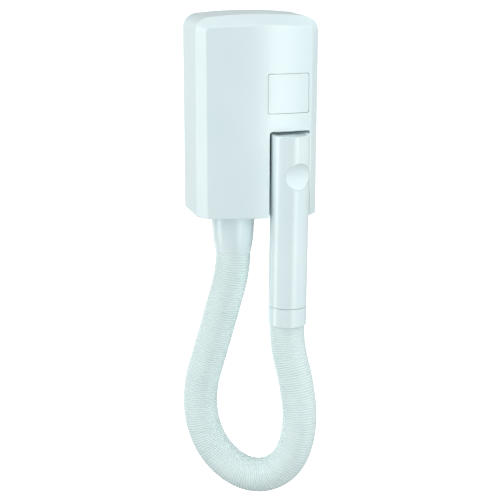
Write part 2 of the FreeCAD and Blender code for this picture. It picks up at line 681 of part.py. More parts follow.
def scroll_screws():
    """Screws of the scroll flange into the back plate's posts."""
    seats = [(x, SCROLL_BACK - SCROLL_WALL, z) for x, z in SCROLL_POSTS]
    return group([pan_screw(seat, Y, 12.0) for seat in seats])


def impeller():
    """Squirrel-cage wheel: back disc, hub, curved blades and front ring."""
    disc = rod(FAN_R, (FAN_X, FAN_BACK, FAN_Z), 1.5)
    hub = rod(6.0, (FAN_X, HUB_FRONT, FAN_Z), HUB_LENGTH + 0.5)
    rim = ring(FAN_R, FAN_R - 9, (FAN_X, FAN_FRONT, FAN_Z), 1.4)
    pieces = [disc, hub, rim]
    blade_r = 4.5
    centre_r = FAN_R - blade_r
    for i in range(BLADE_COUNT):
        turn = 360.0 / BLADE_COUNT * i
        blade = ring(blade_r + 1.1, blade_r, (FAN_X + centre_r, FAN_FRONT + 0.7, FAN_Z), FAN_WIDTH)
        half = box(FAN_X + centre_r - 7, FAN_X + centre_r + 7, FAN_FRONT, FAN_BACK + 1,
                   FAN_Z, FAN_Z + 7)
        blade = blade.common(half)
        blade.translate(Vector(0, 0, -blade_r))
        blade.rotate(Vector(FAN_X, 0, FAN_Z), Y, turn)
        pieces.append(blade)
    wheel = fuse(pieces)
    wheel = wheel.common(rod(FAN_R, (FAN_X, FAN_FRONT, FAN_Z), FAN_WIDTH + 1.5))
    return wheel.cut(rod(SHAFT_R, (FAN_X, FAN_FRONT, FAN_Z), FAN_WIDTH + 4))


def impeller_nut():
    """Nut that holds the fan wheel on the shaft."""
    return ring(3.4, SHAFT_R, (FAN_X, HUB_FRONT - 2.6, FAN_Z), 2.5)


def motor_can():
    """Deep-drawn motor can with a boss for the front bush."""
    can = rod(MOTOR_R, (FAN_X, SCROLL_BACK + 0.05, FAN_Z), MOTOR_LENGTH - 0.05)
    can = can.cut(rod(MOTOR_R - MOTOR_SHEET, (FAN_X, SCROLL_BACK + 1.3, FAN_Z), MOTOR_LENGTH))
    boss = rod(MOTOR_BOSS_R, (FAN_X, SCROLL_BACK - 3, FAN_Z), 4.0)
    can = fuse([can, boss]).cut(rod(BUSH_R, (FAN_X, SCROLL_BACK - 4, FAN_Z), 8.0))
    for side in (-1, 1):
        hole = (FAN_X + side * MOTOR_SCREW_X, SCROLL_BACK - 1, FAN_Z)
        can = can.cut(rod(PILOT_R, hole, 5.0))
    return can


def motor_screws():
    """Two screws through the scroll floor into the motor can."""
    y = SCROLL_BACK - SCROLL_WALL
    seats = [(FAN_X + side * MOTOR_SCREW_X, y, FAN_Z) for side in (-1, 1)]
    return group([pan_screw(seat, Y, 4.6) for seat in seats])


def motor_magnets():
    """Two curved magnets inside the can."""
    band = ring(MOTOR_R - 1.25, MOTOR_R - 3.7, (FAN_X, SCROLL_BACK + 5, FAN_Z), 22.0)
    gap = box(FAN_X - 5, FAN_X + 5, SCROLL_BACK, MOTOR_BACK, FAN_Z - 20, FAN_Z + 20)
    return group(band.cut(gap).Solids)


def motor_bushes():
    """Front and rear sintered bushes of the motor shaft."""
    bore = SHAFT_R + BUSH_GAP
    front = ring(BUSH_R - 0.05, bore, (FAN_X, SCROLL_BACK - 3, FAN_Z), 4.2)
    rear = ring(BUSH_R - 0.05, bore, (FAN_X, MOTOR_BACK - 1.5, FAN_Z), 4.0)
    return group([front, rear])


def motor_endcap():
    """Plastic end cap that closes the can and holds the brushes."""
    cap = rod(MOTOR_R, (FAN_X, MOTOR_BACK + 0.05, FAN_Z), 2.0)
    spigot = ring(MOTOR_R - 1.3, MOTOR_R - 2.6, (FAN_X, MOTOR_BACK - 3, FAN_Z), 3.5)
    boss = rod(MOTOR_BOSS_R, (FAN_X, MOTOR_BACK - 1.5, FAN_Z), 4.0)
    cap = fuse([cap, spigot, boss])
    return cap.cut(rod(BUSH_R, (FAN_X, MOTOR_BACK - 4, FAN_Z), 10.0))


def motor_brushes():
    """Two carbon brushes with their holders beside the commutator."""
    brushes = []
    for side in (-1, 1):
        near = FAN_X + side * 4.4
        far = FAN_X + side * 12.0
        brushes.append(box(min(near, far), max(near, far), MOTOR_BACK - 7.2, MOTOR_BACK - 3.6,
                           FAN_Z - 2, FAN_Z + 2))
    return group(brushes)


def motor_shaft():
    """Shaft from the rear bush to the fan nut."""
    start = HUB_FRONT - 3.6
    return rod(SHAFT_R, (FAN_X, start, FAN_Z), MOTOR_BACK + 2 - start)


ARMATURE_START = SCROLL_BACK + 7.0
ARMATURE_LENGTH = 14.0
ARMATURE_R = 12.6


def slot_boxes(width, near, far, y0, y1):
    """Boxes of the five armature slots."""
    boxes = []
    for i in range(5):
        slot = box(FAN_X + near, FAN_X + far, y0, y1, FAN_Z - width / 2, FAN_Z + width / 2)
        slot.rotate(Vector(FAN_X, 0, FAN_Z), Y, 72.0 * i)
        boxes.append(slot)
    return boxes


def armature_core():
    """Laminated armature with five slots."""
    core = ring(ARMATURE_R, SHAFT_R, (FAN_X, ARMATURE_START, FAN_Z), ARMATURE_LENGTH)
    end = ARMATURE_START + ARMATURE_LENGTH
    slots = slot_boxes(3.4, 5.2, ARMATURE_R + 2, ARMATURE_START - 1, end + 1)
    return core.cut(Part.makeCompound(slots))


def armature_windings():
    """Copper in the slots, joined by the winding heads at both ends."""
    start = ARMATURE_START
    end = ARMATURE_START + ARMATURE_LENGTH
    bars = slot_boxes(3.0, 5.6, 11.6, start - 1.5, end + 1.5)
    heads = [
        ring(11.0, 5.0, (FAN_X, start - 3.2, FAN_Z), 3.0),
        ring(11.0, 5.0, (FAN_X, end + 0.2, FAN_Z), 3.0),
    ]
    return fuse(heads + bars)


def commutator():
    """Segmented copper commutator."""
    start = ARMATURE_START + ARMATURE_LENGTH + 0.5
    body = ring(4.0, SHAFT_R, (FAN_X, MOTOR_BACK - 9, FAN_Z), 6.0)
    cuts = [
        box(FAN_X + 3.3, FAN_X + 5, start, MOTOR_BACK, FAN_Z - 0.2, FAN_Z + 0.2).rotated(
            Vector(FAN_X, 0, FAN_Z), Y, 36.0 + 72.0 * i)
        for i in range(5)
    ]
    return body.cut(Part.makeCompound(cuts))


# ------------------------------------------------------------------ heater duct
def duct_frame(half, y_half, z0, z1):
    """Upright block centred on the duct."""
    return box(COLLAR_X - half, COLLAR_X + half, COLLAR_Y - y_half, COLLAR_Y + y_half, z0, z1)


def heater_duct():
    """Square sheet-metal duct below the scroll."""
    half = DUCT_SIZE / 2
    hole = half - DUCT_WALL
    return duct_frame(half, half, DUCT_BOTTOM, DUCT_TOP).cut(
        duct_frame(hole, hole, DUCT_BOTTOM - 1, DUCT_TOP + 1))


def duct_gasket():
    """Soft frame between the scroll outlet and the duct."""
    hole = DUCT_SIZE / 2 - DUCT_WALL - 0.05
    frame = duct_frame(hole, hole, OUTLET_BOTTOM + 0.4, DUCT_TOP - 0.4)
    outlet = box(OUTLET_LEFT - 0.05, OUTLET_RIGHT + 0.05, SCROLL_FRONT - 0.05, SCROLL_BACK + 0.05,
                 OUTLET_BOTTOM - 5, DUCT_TOP + 5)
    return frame.cut(outlet)


def duct_strap():
    """Sheet strap that clamps the duct to two posts of the back plate."""
    half = DUCT_SIZE / 2 + CLEAR
    front = COLLAR_Y - half
    out = half + 1.0
    bar = box(COLLAR_X - out, COLLAR_X + out, front - 1, front, STRAP_Z - 6, STRAP_Z + 6)
    pieces = [bar]
    for side in (-1, 1):
        near = COLLAR_X + side * half
        far = COLLAR_X + side * out
        tip = COLLAR_X + side * (half + 11)
        pieces.append(box(min(near, far), max(near, far), front - 0.5, STRAP_POST_Y,
                          STRAP_Z - 6, STRAP_Z + 6))
        pieces.append(box(min(near, tip), max(near, tip), STRAP_POST_Y - 1, STRAP_POST_Y,
                          STRAP_Z - 6, STRAP_Z + 6))
    strap = fuse(pieces)
    for x in STRAP_X:
        strap = strap.cut(rod(SCREW_HOLE_R, (x, STRAP_POST_Y - 5, STRAP_Z), 10.0))
    return strap


def strap_screws():
    """Screws of the duct strap."""
    return group([pan_screw((x, STRAP_POST_Y - 1, STRAP_Z), Y, 10.0) for x in STRAP_X])


def coil_height(i):
    """Height of one heating coil in the duct."""
    top = OUTLET_BOTTOM - 14.0
    pitch = (top - DUCT_BOTTOM - 18.0) / (COIL_COUNT - 1)
    return top - pitch * i


COIL_R = DUCT_SIZE / 2 - DUCT_WALL - 6.8
COIL_WIRE_R = 1.3


def heater_frame():
    """Crossed mica plates, notched for the coils."""
    half = DUCT_SIZE / 2 - DUCT_WALL - 3.0
    z0 = coil_height(COIL_COUNT - 1) - 6
    z1 = coil_height(0) + 6
    frame = fuse([duct_frame(half, 0.5, z0, z1), duct_frame(0.5, half, z0, z1)])
    for i in range(COIL_COUNT):
        notch = Part.makeTorus(COIL_R, COIL_WIRE_R + 0.15, Vector(COLLAR_X, COLLAR_Y, coil_height(i)))
        frame = frame.cut(notch)
    return frame


def heater_coils():
    """Heating coils wound round the mica frame."""
    return group([
        Part.makeTorus(COIL_R, COIL_WIRE_R, Vector(COLLAR_X, COLLAR_Y, coil_height(i)))
        for i in range(COIL_COUNT)
    ])


def thermostat():
    """Bimetal thermostat on the side of the duct."""
    x = COLLAR_X + DUCT_SIZE / 2 + 0.05
    z = DUCT_BOTTOM + 24.0
    disc = rod(6.0, (x, COLLAR_Y, z), 3.6, X)
    tabs = box(x + 1.0, x + 1.8, COLLAR_Y - 10, COLLAR_Y + 10, z - 1.5, z + 1.5)
    return fuse([disc, tabs])


def thermal_fuse():
    """Thermal cut-out beside the thermostat."""
    x = COLLAR_X + DUCT_SIZE / 2 + 2.1
    return rod(1.9, (x, COLLAR_Y - 6, DUCT_BOTTOM + 12.0), 12.0)


def outlet_funnel():
    """Funnel from the square duct to the round collar."""
    wall = 1.5
    half = DUCT_SIZE / 2 + 0.2 + wall
    spigot_r = COLLAR_R - COLLAR_WALL - 0.5
    z_top = DUCT_BOTTOM + 6
    z_square = DUCT_BOTTOM - 4
    z_round = BODY_BOTTOM + 13
    z_end = BODY_BOTTOM + 3.5

    def square(h, z):
        corners = [(-h, -h), (h, -h), (h, h), (-h, h)]
        points = [Vector(COLLAR_X + a, COLLAR_Y + b, z) for a, b in corners]
        return Part.makePolygon(points + points[:1])

    def circle(r, z):
        arcs = []
        for i in range(4):
            a = [math.radians(-135 + 90 * i + 45 * k) for k in range(3)]
            p = [Vector(COLLAR_X + r * math.cos(t), COLLAR_Y + r * math.sin(t), z) for t in a]
            arcs.append(Part.Arc(*p).toShape())
        return Part.Wire(arcs)

    def body(cut):
        h = half - cut
        r = spigot_r - cut
        socket = duct_frame(h, h, z_square, z_top)
        cone = Part.makeLoft([square(h, z_square), circle(r, z_round)], True, True)
        spigot = rod(r, (COLLAR_X, COLLAR_Y, z_end), z_round - z_end, Z)
        return fuse([socket, cone, spigot])

    shoulder = DUCT_SIZE / 2 - DUCT_WALL
    hollow = body(wall)
    hollow = hollow.fuse(duct_frame(half - wall, half - wall, z_top - 1, z_top + 1))
    hollow = hollow.fuse(rod(spigot_r - wall, (COLLAR_X, COLLAR_Y, z_end - 1), 2.0, Z))
    funnel = body(0.0).cut(hollow)
    ledge = duct_frame(half - wall, half - wall, z_square, DUCT_BOTTOM - 0.1).cut(
        duct_frame(shoulder, shoulder, z_square - 1, DUCT_BOTTOM + 1))
    return fuse([funnel, ledge])


def hose_collar():
    """Tapered collar under the box, held by a flange above the bottom wall."""
    inner_top = COLLAR_R - COLLAR_WALL
    z_flange = INNER_BOTTOM + 0.2
    flange_r = COLLAR_R + COLLAR_FLANGE
    waist = BODY_BOTTOM - 0.62 * COLLAR_LENGTH
    waist_r = COLLAR_R - 1.9
    end = COLLAR_BOTTOM
    mouth_r = COLLAR_MOUTH_R
    return lathe([
        (inner_top, z_flange + 2.4), (flange_r, z_flange + 2.4), (flange_r, z_flange),
        (COLLAR_R, z_flange), (COLLAR_R, BODY_BOTTOM - 2), (waist_r, waist),
        (waist_r - 0.9, waist - 6.5), (waist_r - 1.9, waist - 11.5), (mouth_r, end),
        (mouth_r - COLLAR_WALL, end), (waist_r - 1.9 - COLLAR_WALL, waist - 11.0),
        (waist_r - COLLAR_WALL, waist), (inner_top, BODY_BOTTOM - 2),
    ], (COLLAR_X, COLLAR_Y, 0))


def hose_base_insert():
    """Threaded ring that holds the hose in the collar."""
    r = COLLAR_MOUTH_R - COLLAR_WALL
    return ring(r - 0.3, r - 2.0, (COLLAR_X, COLLAR_Y, COLLAR_BOTTOM + 1.0), 11.0, Z)


# --------------------------------------------------------------------- electrics
def control_board():
    """Circuit board on four posts behind the cradle."""
    board = box(BOARD[0], BOARD[1], BOARD_Y - BOARD_THICKNESS, BOARD_Y - 0.05, BOARD[2], BOARD[3])
    for x, z in BOARD_POSTS:
        board = board.cut(rod(SCREW_HOLE_R, (x, BOARD_Y - 5, z), 10.0))
    return board


def board_screws():
    """Four screws of the circuit board."""
    return group([pan_screw((x, BOARD_Y - BOARD_THICKNESS, z), Y, 8.0) for x, z in BOARD_POSTS])


def on_board(dx, dz, width, height, depth):
    """Block on the front of the board, from its lower left corner."""
    front = BOARD_Y - BOARD_THICKNESS - 0.05
    x = BOARD[0] + dx
    z = BOARD[2] + dz
    return box(x, x + width, front - depth, front, z, z + height)


def relay():
    """Heater relay."""
    return on_board(8.0, 8.0, 19.0, 15.0, 15.0)


def suppression_capacitor():
    """Mains suppression capacitor."""
    block = on_board(8.0, 30.0, 26.0, 9.0, 14.0)
    return block.makeFillet(1.2, [e for e in block.Edges if e.Length > 13.0])


def board_transformer():
    """Small transformer for the low-voltage handset button."""
    core = on_board(30.0, 10.0, 13.0, 17.0, 12.0)
    bobbin = on_board(31.5, 7.5, 10.0, 22.0, 9.0)
    return fuse([core, bobbin])


def terminal_block():
    """Three-way mains terminal block."""
    x0, x1, z0, z1 = TERMINAL
    base = -PLATE_THICKNESS - 0.05
    block = box(x0, x1, base - TERMINAL_DEPTH, base, z0, z1)
    pitch = (x1 - x0) / TERMINAL_WAYS
    for i in range(TERMINAL_WAYS):
        x = x0 + pitch * (i + 0.5)
        block = block.cut(rod(2.6, (x, base - TERMINAL_DEPTH - 1, (z0 + z1) / 2), 9.0))
        block = block.cut(rod(2.0, (x, base - 6, z0 - 1), z1 - z0 + 2, Z))
    for i in range(1, TERMINAL_WAYS):
        x = x0 + pitch * i
        block = block.cut(box(x - 0.6, x + 0.6, base - TERMINAL_DEPTH - 1, base - 4, z0 - 1, z1 + 1))
    return block


def terminal_screws():
    """Clamping screws of the terminal block."""
    x0, x1, z0, z1 = TERMINAL
    pitch = (x1 - x0) / TERMINAL_WAYS
    y = -PLATE_THICKNESS - 0.05 - TERMINAL_DEPTH + 1.5
    z = (z0 + z1) / 2
    screws = []
    for i in range(TERMINAL_WAYS):
        x = x0 + pitch * (i + 0.5)
        screw = rod(2.4, (x, y, z), 6.2)
        slot = box(x - 3, x + 3, y - 1, y + 1, z - 0.4, z + 0.4)
        screws.append(screw.cut(slot))
    return group(screws)


def cable_grommet():
    """Rubber grommet in the cable entry of the back plate."""
    x, z = CABLE_ENTRY
    neck = ring(5.9, CABLE_R, (x, -PLATE_THICKNESS - 0.2, z), PLATE_THICKNESS + 0.2)
    lip = ring(8.0, CABLE_R, (x, -PLATE_THICKNESS - 2.0, z), 1.9)
    return fuse([neck, lip])


def cable_clamp():
    """Bar that grips the supply cable above its entry."""
    (xa, z), (xb, _) = CLAMP_POSTS
    face = -PLATE_THICKNESS - 3.05
    bar = box(xa - 4, xb + 4, face - 3, face, z - 4, z + 4)
    bar = bar.cut(rod(CABLE_R, ((xa + xb) / 2, face + 1.5, z - 5), 10.0, Z))
    for x, post_z in CLAMP_POSTS:
        bar = bar.cut(rod(SCREW_HOLE_R, (x, face - 5, post_z), 10.0))
    return bar


def clamp_screws():
    """Two screws of the cable clamp."""
    face = -PLATE_THICKNESS - 3.05
    return group([pan_screw((x, face - 3, z), Y, 7.5) for x, z in CLAMP_POSTS])


# ----------------------------------------------------------------------- handset
def button_hole(radius):
    """Cylinder through the front of the tube at the button."""
    return rod(radius, (0, 0, BUTTON_HEIGHT), 60.0, Y * -1)


def handset_tube():
    """Cylindrical barrel of the handset, open at both ends."""
    tube = ring(HANDSET_R, TUBE_INNER_R, (0, 0, 0), HANDSET_LENGTH, Z)
    groove = ring(TUBE_INNER_R + 0.8, TUBE_INNER_R - 1, (0, 0, GROOVE_Z - 0.1),
                  GROOVE_WIDTH + 0.2, Z)
    tube = in_handset(tube.cut(groove))
    return tube.cut(at_button(button_hole(BUTTON_R + BUTTON_GAP)))


RIM_WALL = 2.8
RIM_LENGTH = 12.0


def outlet_rim():
    """Ring that trims the outlet end of the tube."""
    r = TUBE_INNER_R - 0.05
    inner = r - RIM_WALL
    end = HANDSET_LENGTH
    low = end - RIM_LENGTH
    rim = lathe([(r, low), (r, end), (inner + 0.8, end), (inner, end - 1.5), (inner, low)], (0, 0, 0))
    return in_handset(rim)


def outlet_grille():
    """Guard of rings and spokes across the outlet."""
    z = HANDSET_LENGTH - GRILLE_INSET - GRILLE_DEPTH
    outer = TUBE_INNER_R - 0.05 - RIM_WALL - 0.05
    bits = [rod(outer - GRILLE_RINGS * GRILLE_PITCH, (0, 0, z), GRILLE_DEPTH, Z)]
    for i in range(GRILLE_RINGS):
        r = outer - i * GRILLE_PITCH
        bits.append(ring(r, r - GRILLE_BAR, (0, 0, z), GRILLE_DEPTH, Z))
    for i in range(6):
        spoke = box(3.0, outer - 0.6, -0.8, 0.8, z, z + GRILLE_DEPTH)
        spoke.rotate(Vector(0, 0, 0), Z, 60.0 * i)
        bits.append(spoke)
    return in_handset(fuse(bits))


FLANGE_R = BUTTON_R + 1.2
FLANGE_Q = 9.6              # radial place of the button flange's inner face
CARRIER_HALF = 1.0
SWITCH_HEIGHT = 6.2
BUTTON_SPRING_Z = 10.5


def push_button():
    """Round button whose face is a thumb scoop, drawn at the front of the tube."""
    web_back = SCOOP_OFFSET - BUTTON_WEB
    start = (0, -FLANGE_Q, BUTTON_HEIGHT)
    plug = rod(BUTTON_R, start, HANDSET_R, Y * -1)
    plug = plug.common(rod(HANDSET_R, (0, 0, 0), HANDSET_LENGTH, Z))
    scoop = rod(HANDSET_R, (-60, -(SCOOP_OFFSET + HANDSET_R), BUTTON_HEIGHT), 120.0, X)
    plug = plug.cut(scoop)
    flange = rod(FLANGE_R, start, 1.5, Y * -1)
    button = fuse([plug, flange])
    hollow = (0, -FLANGE_Q + 1, BUTTON_HEIGHT)
    button = button.cut(rod(BUTTON_R - 1.8, hollow, web_back - FLANGE_Q + 1, Y * -1))
    stem_end = CARRIER_HALF + SWITCH_HEIGHT + BUTTON_TRAVEL
    stem = rod(3.0, (0, -(stem_end + 0.8), BUTTON_HEIGHT), web_back - stem_end, Y * -1)
    return at_button(fuse([button, stem]))


def switch_carrier():
    """Bridge across the tube that carries the switch and the button springs."""
    chord = math.sqrt(TUBE_INNER_R ** 2 - CARRIER_HALF ** 2) - 0.15
    z0 = BUTTON_HEIGHT - 22
    z1 = BUTTON_HEIGHT + 22
    bridge = box(-chord, chord, -CARRIER_HALF, CARRIER_HALF, z0, z1)
    guides = []
    for s in (-1, 1):
        seat = (0, -CARRIER_HALF + 0.2, BUTTON_HEIGHT + s * BUTTON_SPRING_Z)
        guides.append(ring(3.0, 1.0, seat, 0.2, Y * -1))
    return at_button(fuse([bridge] + guides))


def handset_switch():
    """Micro switch under the push button."""
    body = box(-5, 5, -(CARRIER_HALF + SWITCH_HEIGHT), -CARRIER_HALF - 0.05,
               BUTTON_HEIGHT - 6, BUTTON_HEIGHT + 6)
    tip = rod(1.5, (0, -(CARRIER_HALF + SWITCH_HEIGHT) + 0.5, BUTTON_HEIGHT), 0.9, Y * -1)
    return at_button(fuse([body, tip]))


def button_springs():
    """Two springs that push the button out."""
    length = SCOOP_OFFSET - BUTTON_WEB - CARRIER_HALF - 0.3
    springs = [
        coil_spring((0, -CARRIER_HALF - 0.15, BUTTON_HEIGHT + s * BUTTON_SPRING_Z), Y * -1,
                    length, 2.2, 0.3, 6)
        for s in (-1, 1)
    ]
    return group([at_button(s) for s in springs])


def hose_cuff():
    """Ring at the end of the hose; the handset tube turns on its spigot."""
    r = HANDSET_R
    spigot = SPIGOT_R
    bore = CUFF_BORE
    groove_r = spigot - 1.0
    groove_top = GROOVE_Z + GROOVE_WIDTH
    cuff = lathe([
        (bore, -CUFF_LENGTH), (r - CUFF_CHAMFER, -CUFF_LENGTH), (r, -CUFF_LENGTH + CUFF_CHAMFER),
        (r, -SWIVEL_GAP), (spigot, -SWIVEL_GAP), (spigot, GROOVE_Z), (groove_r, GROOVE_Z),
        (groove_r, groove_top), (spigot, groove_top), (spigot, CUFF_SPIGOT - 1),
        (spigot - 1, CUFF_SPIGOT), (bore, CUFF_SPIGOT),
    ], (0, 0, 0))
    return in_handset(cuff)


def swivel_circlip():
    """Split ring that keeps the tube on the cuff's spigot."""
    clip = ring(TUBE_INNER_R + 0.4, SPIGOT_R - 0.9, (0, 0, GROOVE_Z + 0.25), GROOVE_WIDTH - 0.5, Z)
    return in_handset(clip.cut(box(-2, 2, 0, 40, 0, 20)))


def hose_end_insert():
    """Threaded ring that holds the hose in the cuff."""
    place = (0, 0, -CUFF_LENGTH + 2)
    return in_handset(ring(CUFF_BORE - 0.1, CUFF_BORE - 1.6, place, 12.0, Z))


# -------------------------------------------------------------------------- hose
CUFF_END = HANDSET.multVec(Vector(0, 0, -CUFF_LENGTH))
CUFF_LEAD = HANDSET.multVec(Vector(0, 0, -CUFF_LENGTH - 26.0))
HOSE_ROUTE = [
    Vector(COLLAR_X, COLLAR_Y, COLLAR_BOTTOM),
    Vector(COLLAR_X, COLLAR_Y, -198),
    Vector(-36.0, -53.7, -247),
    Vector(-49.5, -46.6, -300),
    Vector(-62.5, -39.8, -348),
    Vector(-61.0, -40.5, -394),
    Vector(-44.5, -49.3, -432),
    Vector(-15.5, -64.5, -456),
    Vector(15.0, -80.5, -457),
    Vector(41.0, -94.2, -434),
    Vector(52.0, -100.0, -387),
    Vector(47.0, -97.3, -335),
    CUFF_LEAD,
    CUFF_END,
]


def hose_path(route):
    """Straight runs joined by tangent arcs, each arc as large as its runs allow."""
    edges = []
    radii = []
    here = route[0]
    for i in range(1, len(route) - 1):
        before = route[i] - route[i - 1]
        after = route[i + 1] - route[i]
        shorter = min(before.Length, after.Length)
        half_turn = before.getAngle(after) / 2
        back = shorter * 0.45
        radius = back / math.tan(half_turn)
        radii.append(radius)
        a = route[i] - before * (back / before.Length)
        b = route[i] + after * (back / after.Length)
        inward = (a + b) * 0.5 - route[i]
        depth = radius / math.cos(half_turn) - radius
        mid = route[i] + inward * (depth / inward.Length)
        edges.append(Part.LineSegment(here, a).toShape())
        edges.append(Part.Arc(a, mid, b).toShape())
        here = b
    edges.append(Part.LineSegment(here, route[-1]).toShape())
    return Part.Wire(edges), radii


def hose():
    """Outer form of the corrugated hose, hanging from the collar to the cuff."""
    path, radii = hose_path(HOSE_ROUTE)
    first = HOSE_ROUTE[1] - HOSE_ROUTE[0]
    section = Part.Wire(Part.makeCircle(HOSE_D / 2, HOSE_ROUTE[0], first))
    tube = path.makePipeShell([section], True, False)
    length = path.Length
    want = math.pi * HOSE_D ** 2 / 4 * length
    print("hose radii", [round(r) for r in radii])
    print("hose length %.1f, volume %.0f, section times length %.0f" % (length, tube.Volume, want))
    return tube


PIECES = [
    front_cover, back_plate, cover_screws, socket_blank,
    handset_cradle, cradle_screws, cradle_clip, clip_nut,
    dock_switch, dock_switch_screws, dock_plunger, plunger_spring,
    fan_housing, fan_cover, scroll_screws, impeller, impeller_nut,
    motor_can, motor_screws, motor_magnets, motor_bushes, motor_endcap, motor_brushes,
    motor_shaft, armature_core, armature_windings, commutator,
    heater_duct, duct_gasket, duct_strap, strap_screws, heater_frame, heater_coils,
    thermostat, thermal_fuse, outlet_funnel, hose_collar, hose_base_insert,
    control_board, board_screws, relay, suppression_capacitor, board_transformer,
    terminal_block, terminal_screws, cable_grommet, cable_clamp, clamp_screws,
    handset_tube, outlet_rim, outlet_grille, push_button, switch_carrier,
    handset_switch, button_springs, hose_cuff, swivel_circlip, hose_end_insert,
    hose,
]

os.makedirs("parts", exist_ok=True)
for piece in PIECES:
    shape = piece()
    shape.exportStep("parts/%s.step" % piece.__name__)
    print("%-24s %d solid(s) %10.0f mm3 %s" % (
        piece.__name__, len(shape.Solids), shape.Volume, "" if shape.isValid() else "INVALID"))
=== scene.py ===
"""Looks of a wall-mounted hose hair dryer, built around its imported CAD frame.

The frame gives every rigid piece its shape and its place, and this script gives
each of them its finish. It also makes the pieces that the frame holds only as plain
solids: the corrugated hose, the threaded screws and the wound heating coils.
Everything is in metres. The wall is the plane y = 0, the front of the dryer
faces -Y, and +Z is up.
"""

from __future__ import annotations

import json
import logging
import math
from dataclasses import dataclass, field
from enum import Enum
from typing import ClassVar, Mapping, Sequence

import bmesh
import bpy
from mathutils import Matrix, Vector

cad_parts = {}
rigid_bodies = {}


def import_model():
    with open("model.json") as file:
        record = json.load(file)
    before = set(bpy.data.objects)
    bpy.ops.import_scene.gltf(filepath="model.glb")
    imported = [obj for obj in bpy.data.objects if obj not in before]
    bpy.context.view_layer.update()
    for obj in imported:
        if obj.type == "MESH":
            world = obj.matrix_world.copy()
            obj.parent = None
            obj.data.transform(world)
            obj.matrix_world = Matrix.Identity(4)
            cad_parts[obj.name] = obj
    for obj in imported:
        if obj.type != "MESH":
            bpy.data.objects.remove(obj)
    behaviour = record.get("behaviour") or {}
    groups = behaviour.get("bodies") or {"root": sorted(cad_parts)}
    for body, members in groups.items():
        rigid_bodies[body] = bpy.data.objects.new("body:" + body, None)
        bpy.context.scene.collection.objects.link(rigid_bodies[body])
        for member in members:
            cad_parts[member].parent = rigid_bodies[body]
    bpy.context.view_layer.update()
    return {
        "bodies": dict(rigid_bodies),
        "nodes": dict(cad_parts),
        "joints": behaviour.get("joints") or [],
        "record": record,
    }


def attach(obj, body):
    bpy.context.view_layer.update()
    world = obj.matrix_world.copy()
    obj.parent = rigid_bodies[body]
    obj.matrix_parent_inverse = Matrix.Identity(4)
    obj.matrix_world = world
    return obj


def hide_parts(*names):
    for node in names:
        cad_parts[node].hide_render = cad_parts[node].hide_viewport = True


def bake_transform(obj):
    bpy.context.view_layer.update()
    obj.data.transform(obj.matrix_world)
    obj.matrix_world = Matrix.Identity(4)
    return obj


LOG = logging.getLogger("hair_dryer")
MM = 0.001
BAND_PERIOD = math.pi / 10  # length of one band of a wave texture of scale 1
WELD = 0.002 * MM  # corners closer than this are one corner
SHARP_EDGE = math.radians(50)  # edges that turn more than this stay sharp
BRUSH_STRETCH = 0.03  # width of a brush line over its length
PORE_RANGE = (0.1, 0.45)  # distances, in pitches, over which a pore rises to the surface
PATCH_RANGE = (0.35, 0.65)  # noise levels between which a colour drifts to its shade
GROOVE_SHADE_AND_DUST_LEAST = 0.6  # least share of painted shade and dust in a groove
SCATTER_DEPTH = 1.5 * MM  # how deep light gets into an unfilled plastic


# ------------------------------------------------------------------- small tools
def linear(colour: str) -> tuple[float, float, float, float]:
    """Turn an sRGB colour into linear light.

    Args:
        colour: Six hex digits after a hash.

    Returns:
        Linear red, green, blue and an alpha of one.
    """
    levels = [int(colour[i : i + 2], 16) / 255 for i in (1, 3, 5)]
    light = [v / 12.92 if v <= 0.04045 else ((v + 0.055) / 1.055) ** 2.4 for v in levels]
    return (light[0], light[1], light[2], 1.0)


def add_node(
    tree: bpy.types.NodeTree,
    kind: str,
    inputs: Mapping[str | int, object] | None = None,
    **settings: object,
) -> bpy.types.Node:
    """Add a node with its settings and links.

    Args:
        tree: The node tree that it goes in.
        kind: The node's type name.
        inputs: What each input takes, by name or number: a socket or a value.
        **settings: The node's own properties.

    Returns:
        The new node.
    """
    node = tree.nodes.new(kind)
    for name, value in settings.items():
        setattr(node, name, value)
    for key, value in (inputs or {}).items():
        if isinstance(value, bpy.types.NodeSocket):
            tree.links.new(value, node.inputs[key])
        else:
            node.inputs[key].default_value = value
    return node


def link_object(name: str, data: bpy.types.ID | None) -> bpy.types.Object:
    """Make an object at the origin and put it in the scene."""
    made = bpy.data.objects.new(name, data)
    bpy.context.scene.collection.objects.link(made)
    return made


def dress(piece: bpy.types.Object, finish: "Finish") -> None:
    """Give every face of a piece one finish."""
    material = finish.build()
    if not piece.material_slots:
        piece.data.materials.append(material)
    for slot in piece.material_slots:
        slot.material = material


def solid_boxes(node: bpy.types.Object) -> list[tuple[Vector, Vector]]:
    """Find the separate solids of a frame node.

    Args:
        node: A frame node that holds one or more solids.

    Returns:
        The lowest and highest corner of each solid, from left to right and from
        the bottom up.
    """
    mesh = bmesh.new()
    mesh.from_mesh(node.data)
    bmesh.ops.remove_doubles(mesh, verts=mesh.verts, dist=WELD)
    waiting = set(mesh.verts)
    boxes = []
    while waiting:
        island = [waiting.pop()]
        for vert in island:
            for edge in vert.link_edges:
                other = edge.other_vert(vert)
                if other in waiting:
                    waiting.remove(other)
                    island.append(other)
        spread = [[vert.co[axis] for vert in island] for axis in range(3)]
        low = Vector([min(values) for values in spread])
        high = Vector([max(values) for values in spread])
        boxes.append((low, high))
    mesh.free()
    return sorted(boxes, key=lambda box: (round(box[0].x, 4), round(box[0].z, 4)))


# ---------------------------------------------------------------------- finishes
class Pattern(Enum):
    """How a surface was made, which decides the relief that it shows."""

    MOULDED = "fine even skin of a spark-eroded mould"
    BRUSHED = "faint lines along one direction"
    PLATED = "crystals of a zinc coat"
    BANDED = "thin layers or turns side by side"
    WOVEN = "cloth under resin"
    PITTED = "pressed powder with pores"
    # on a ribbed surface the second colour is painted shade in the grooves, with uneven dust
    RIBBED = "dull dust in the grooves between the ribs"


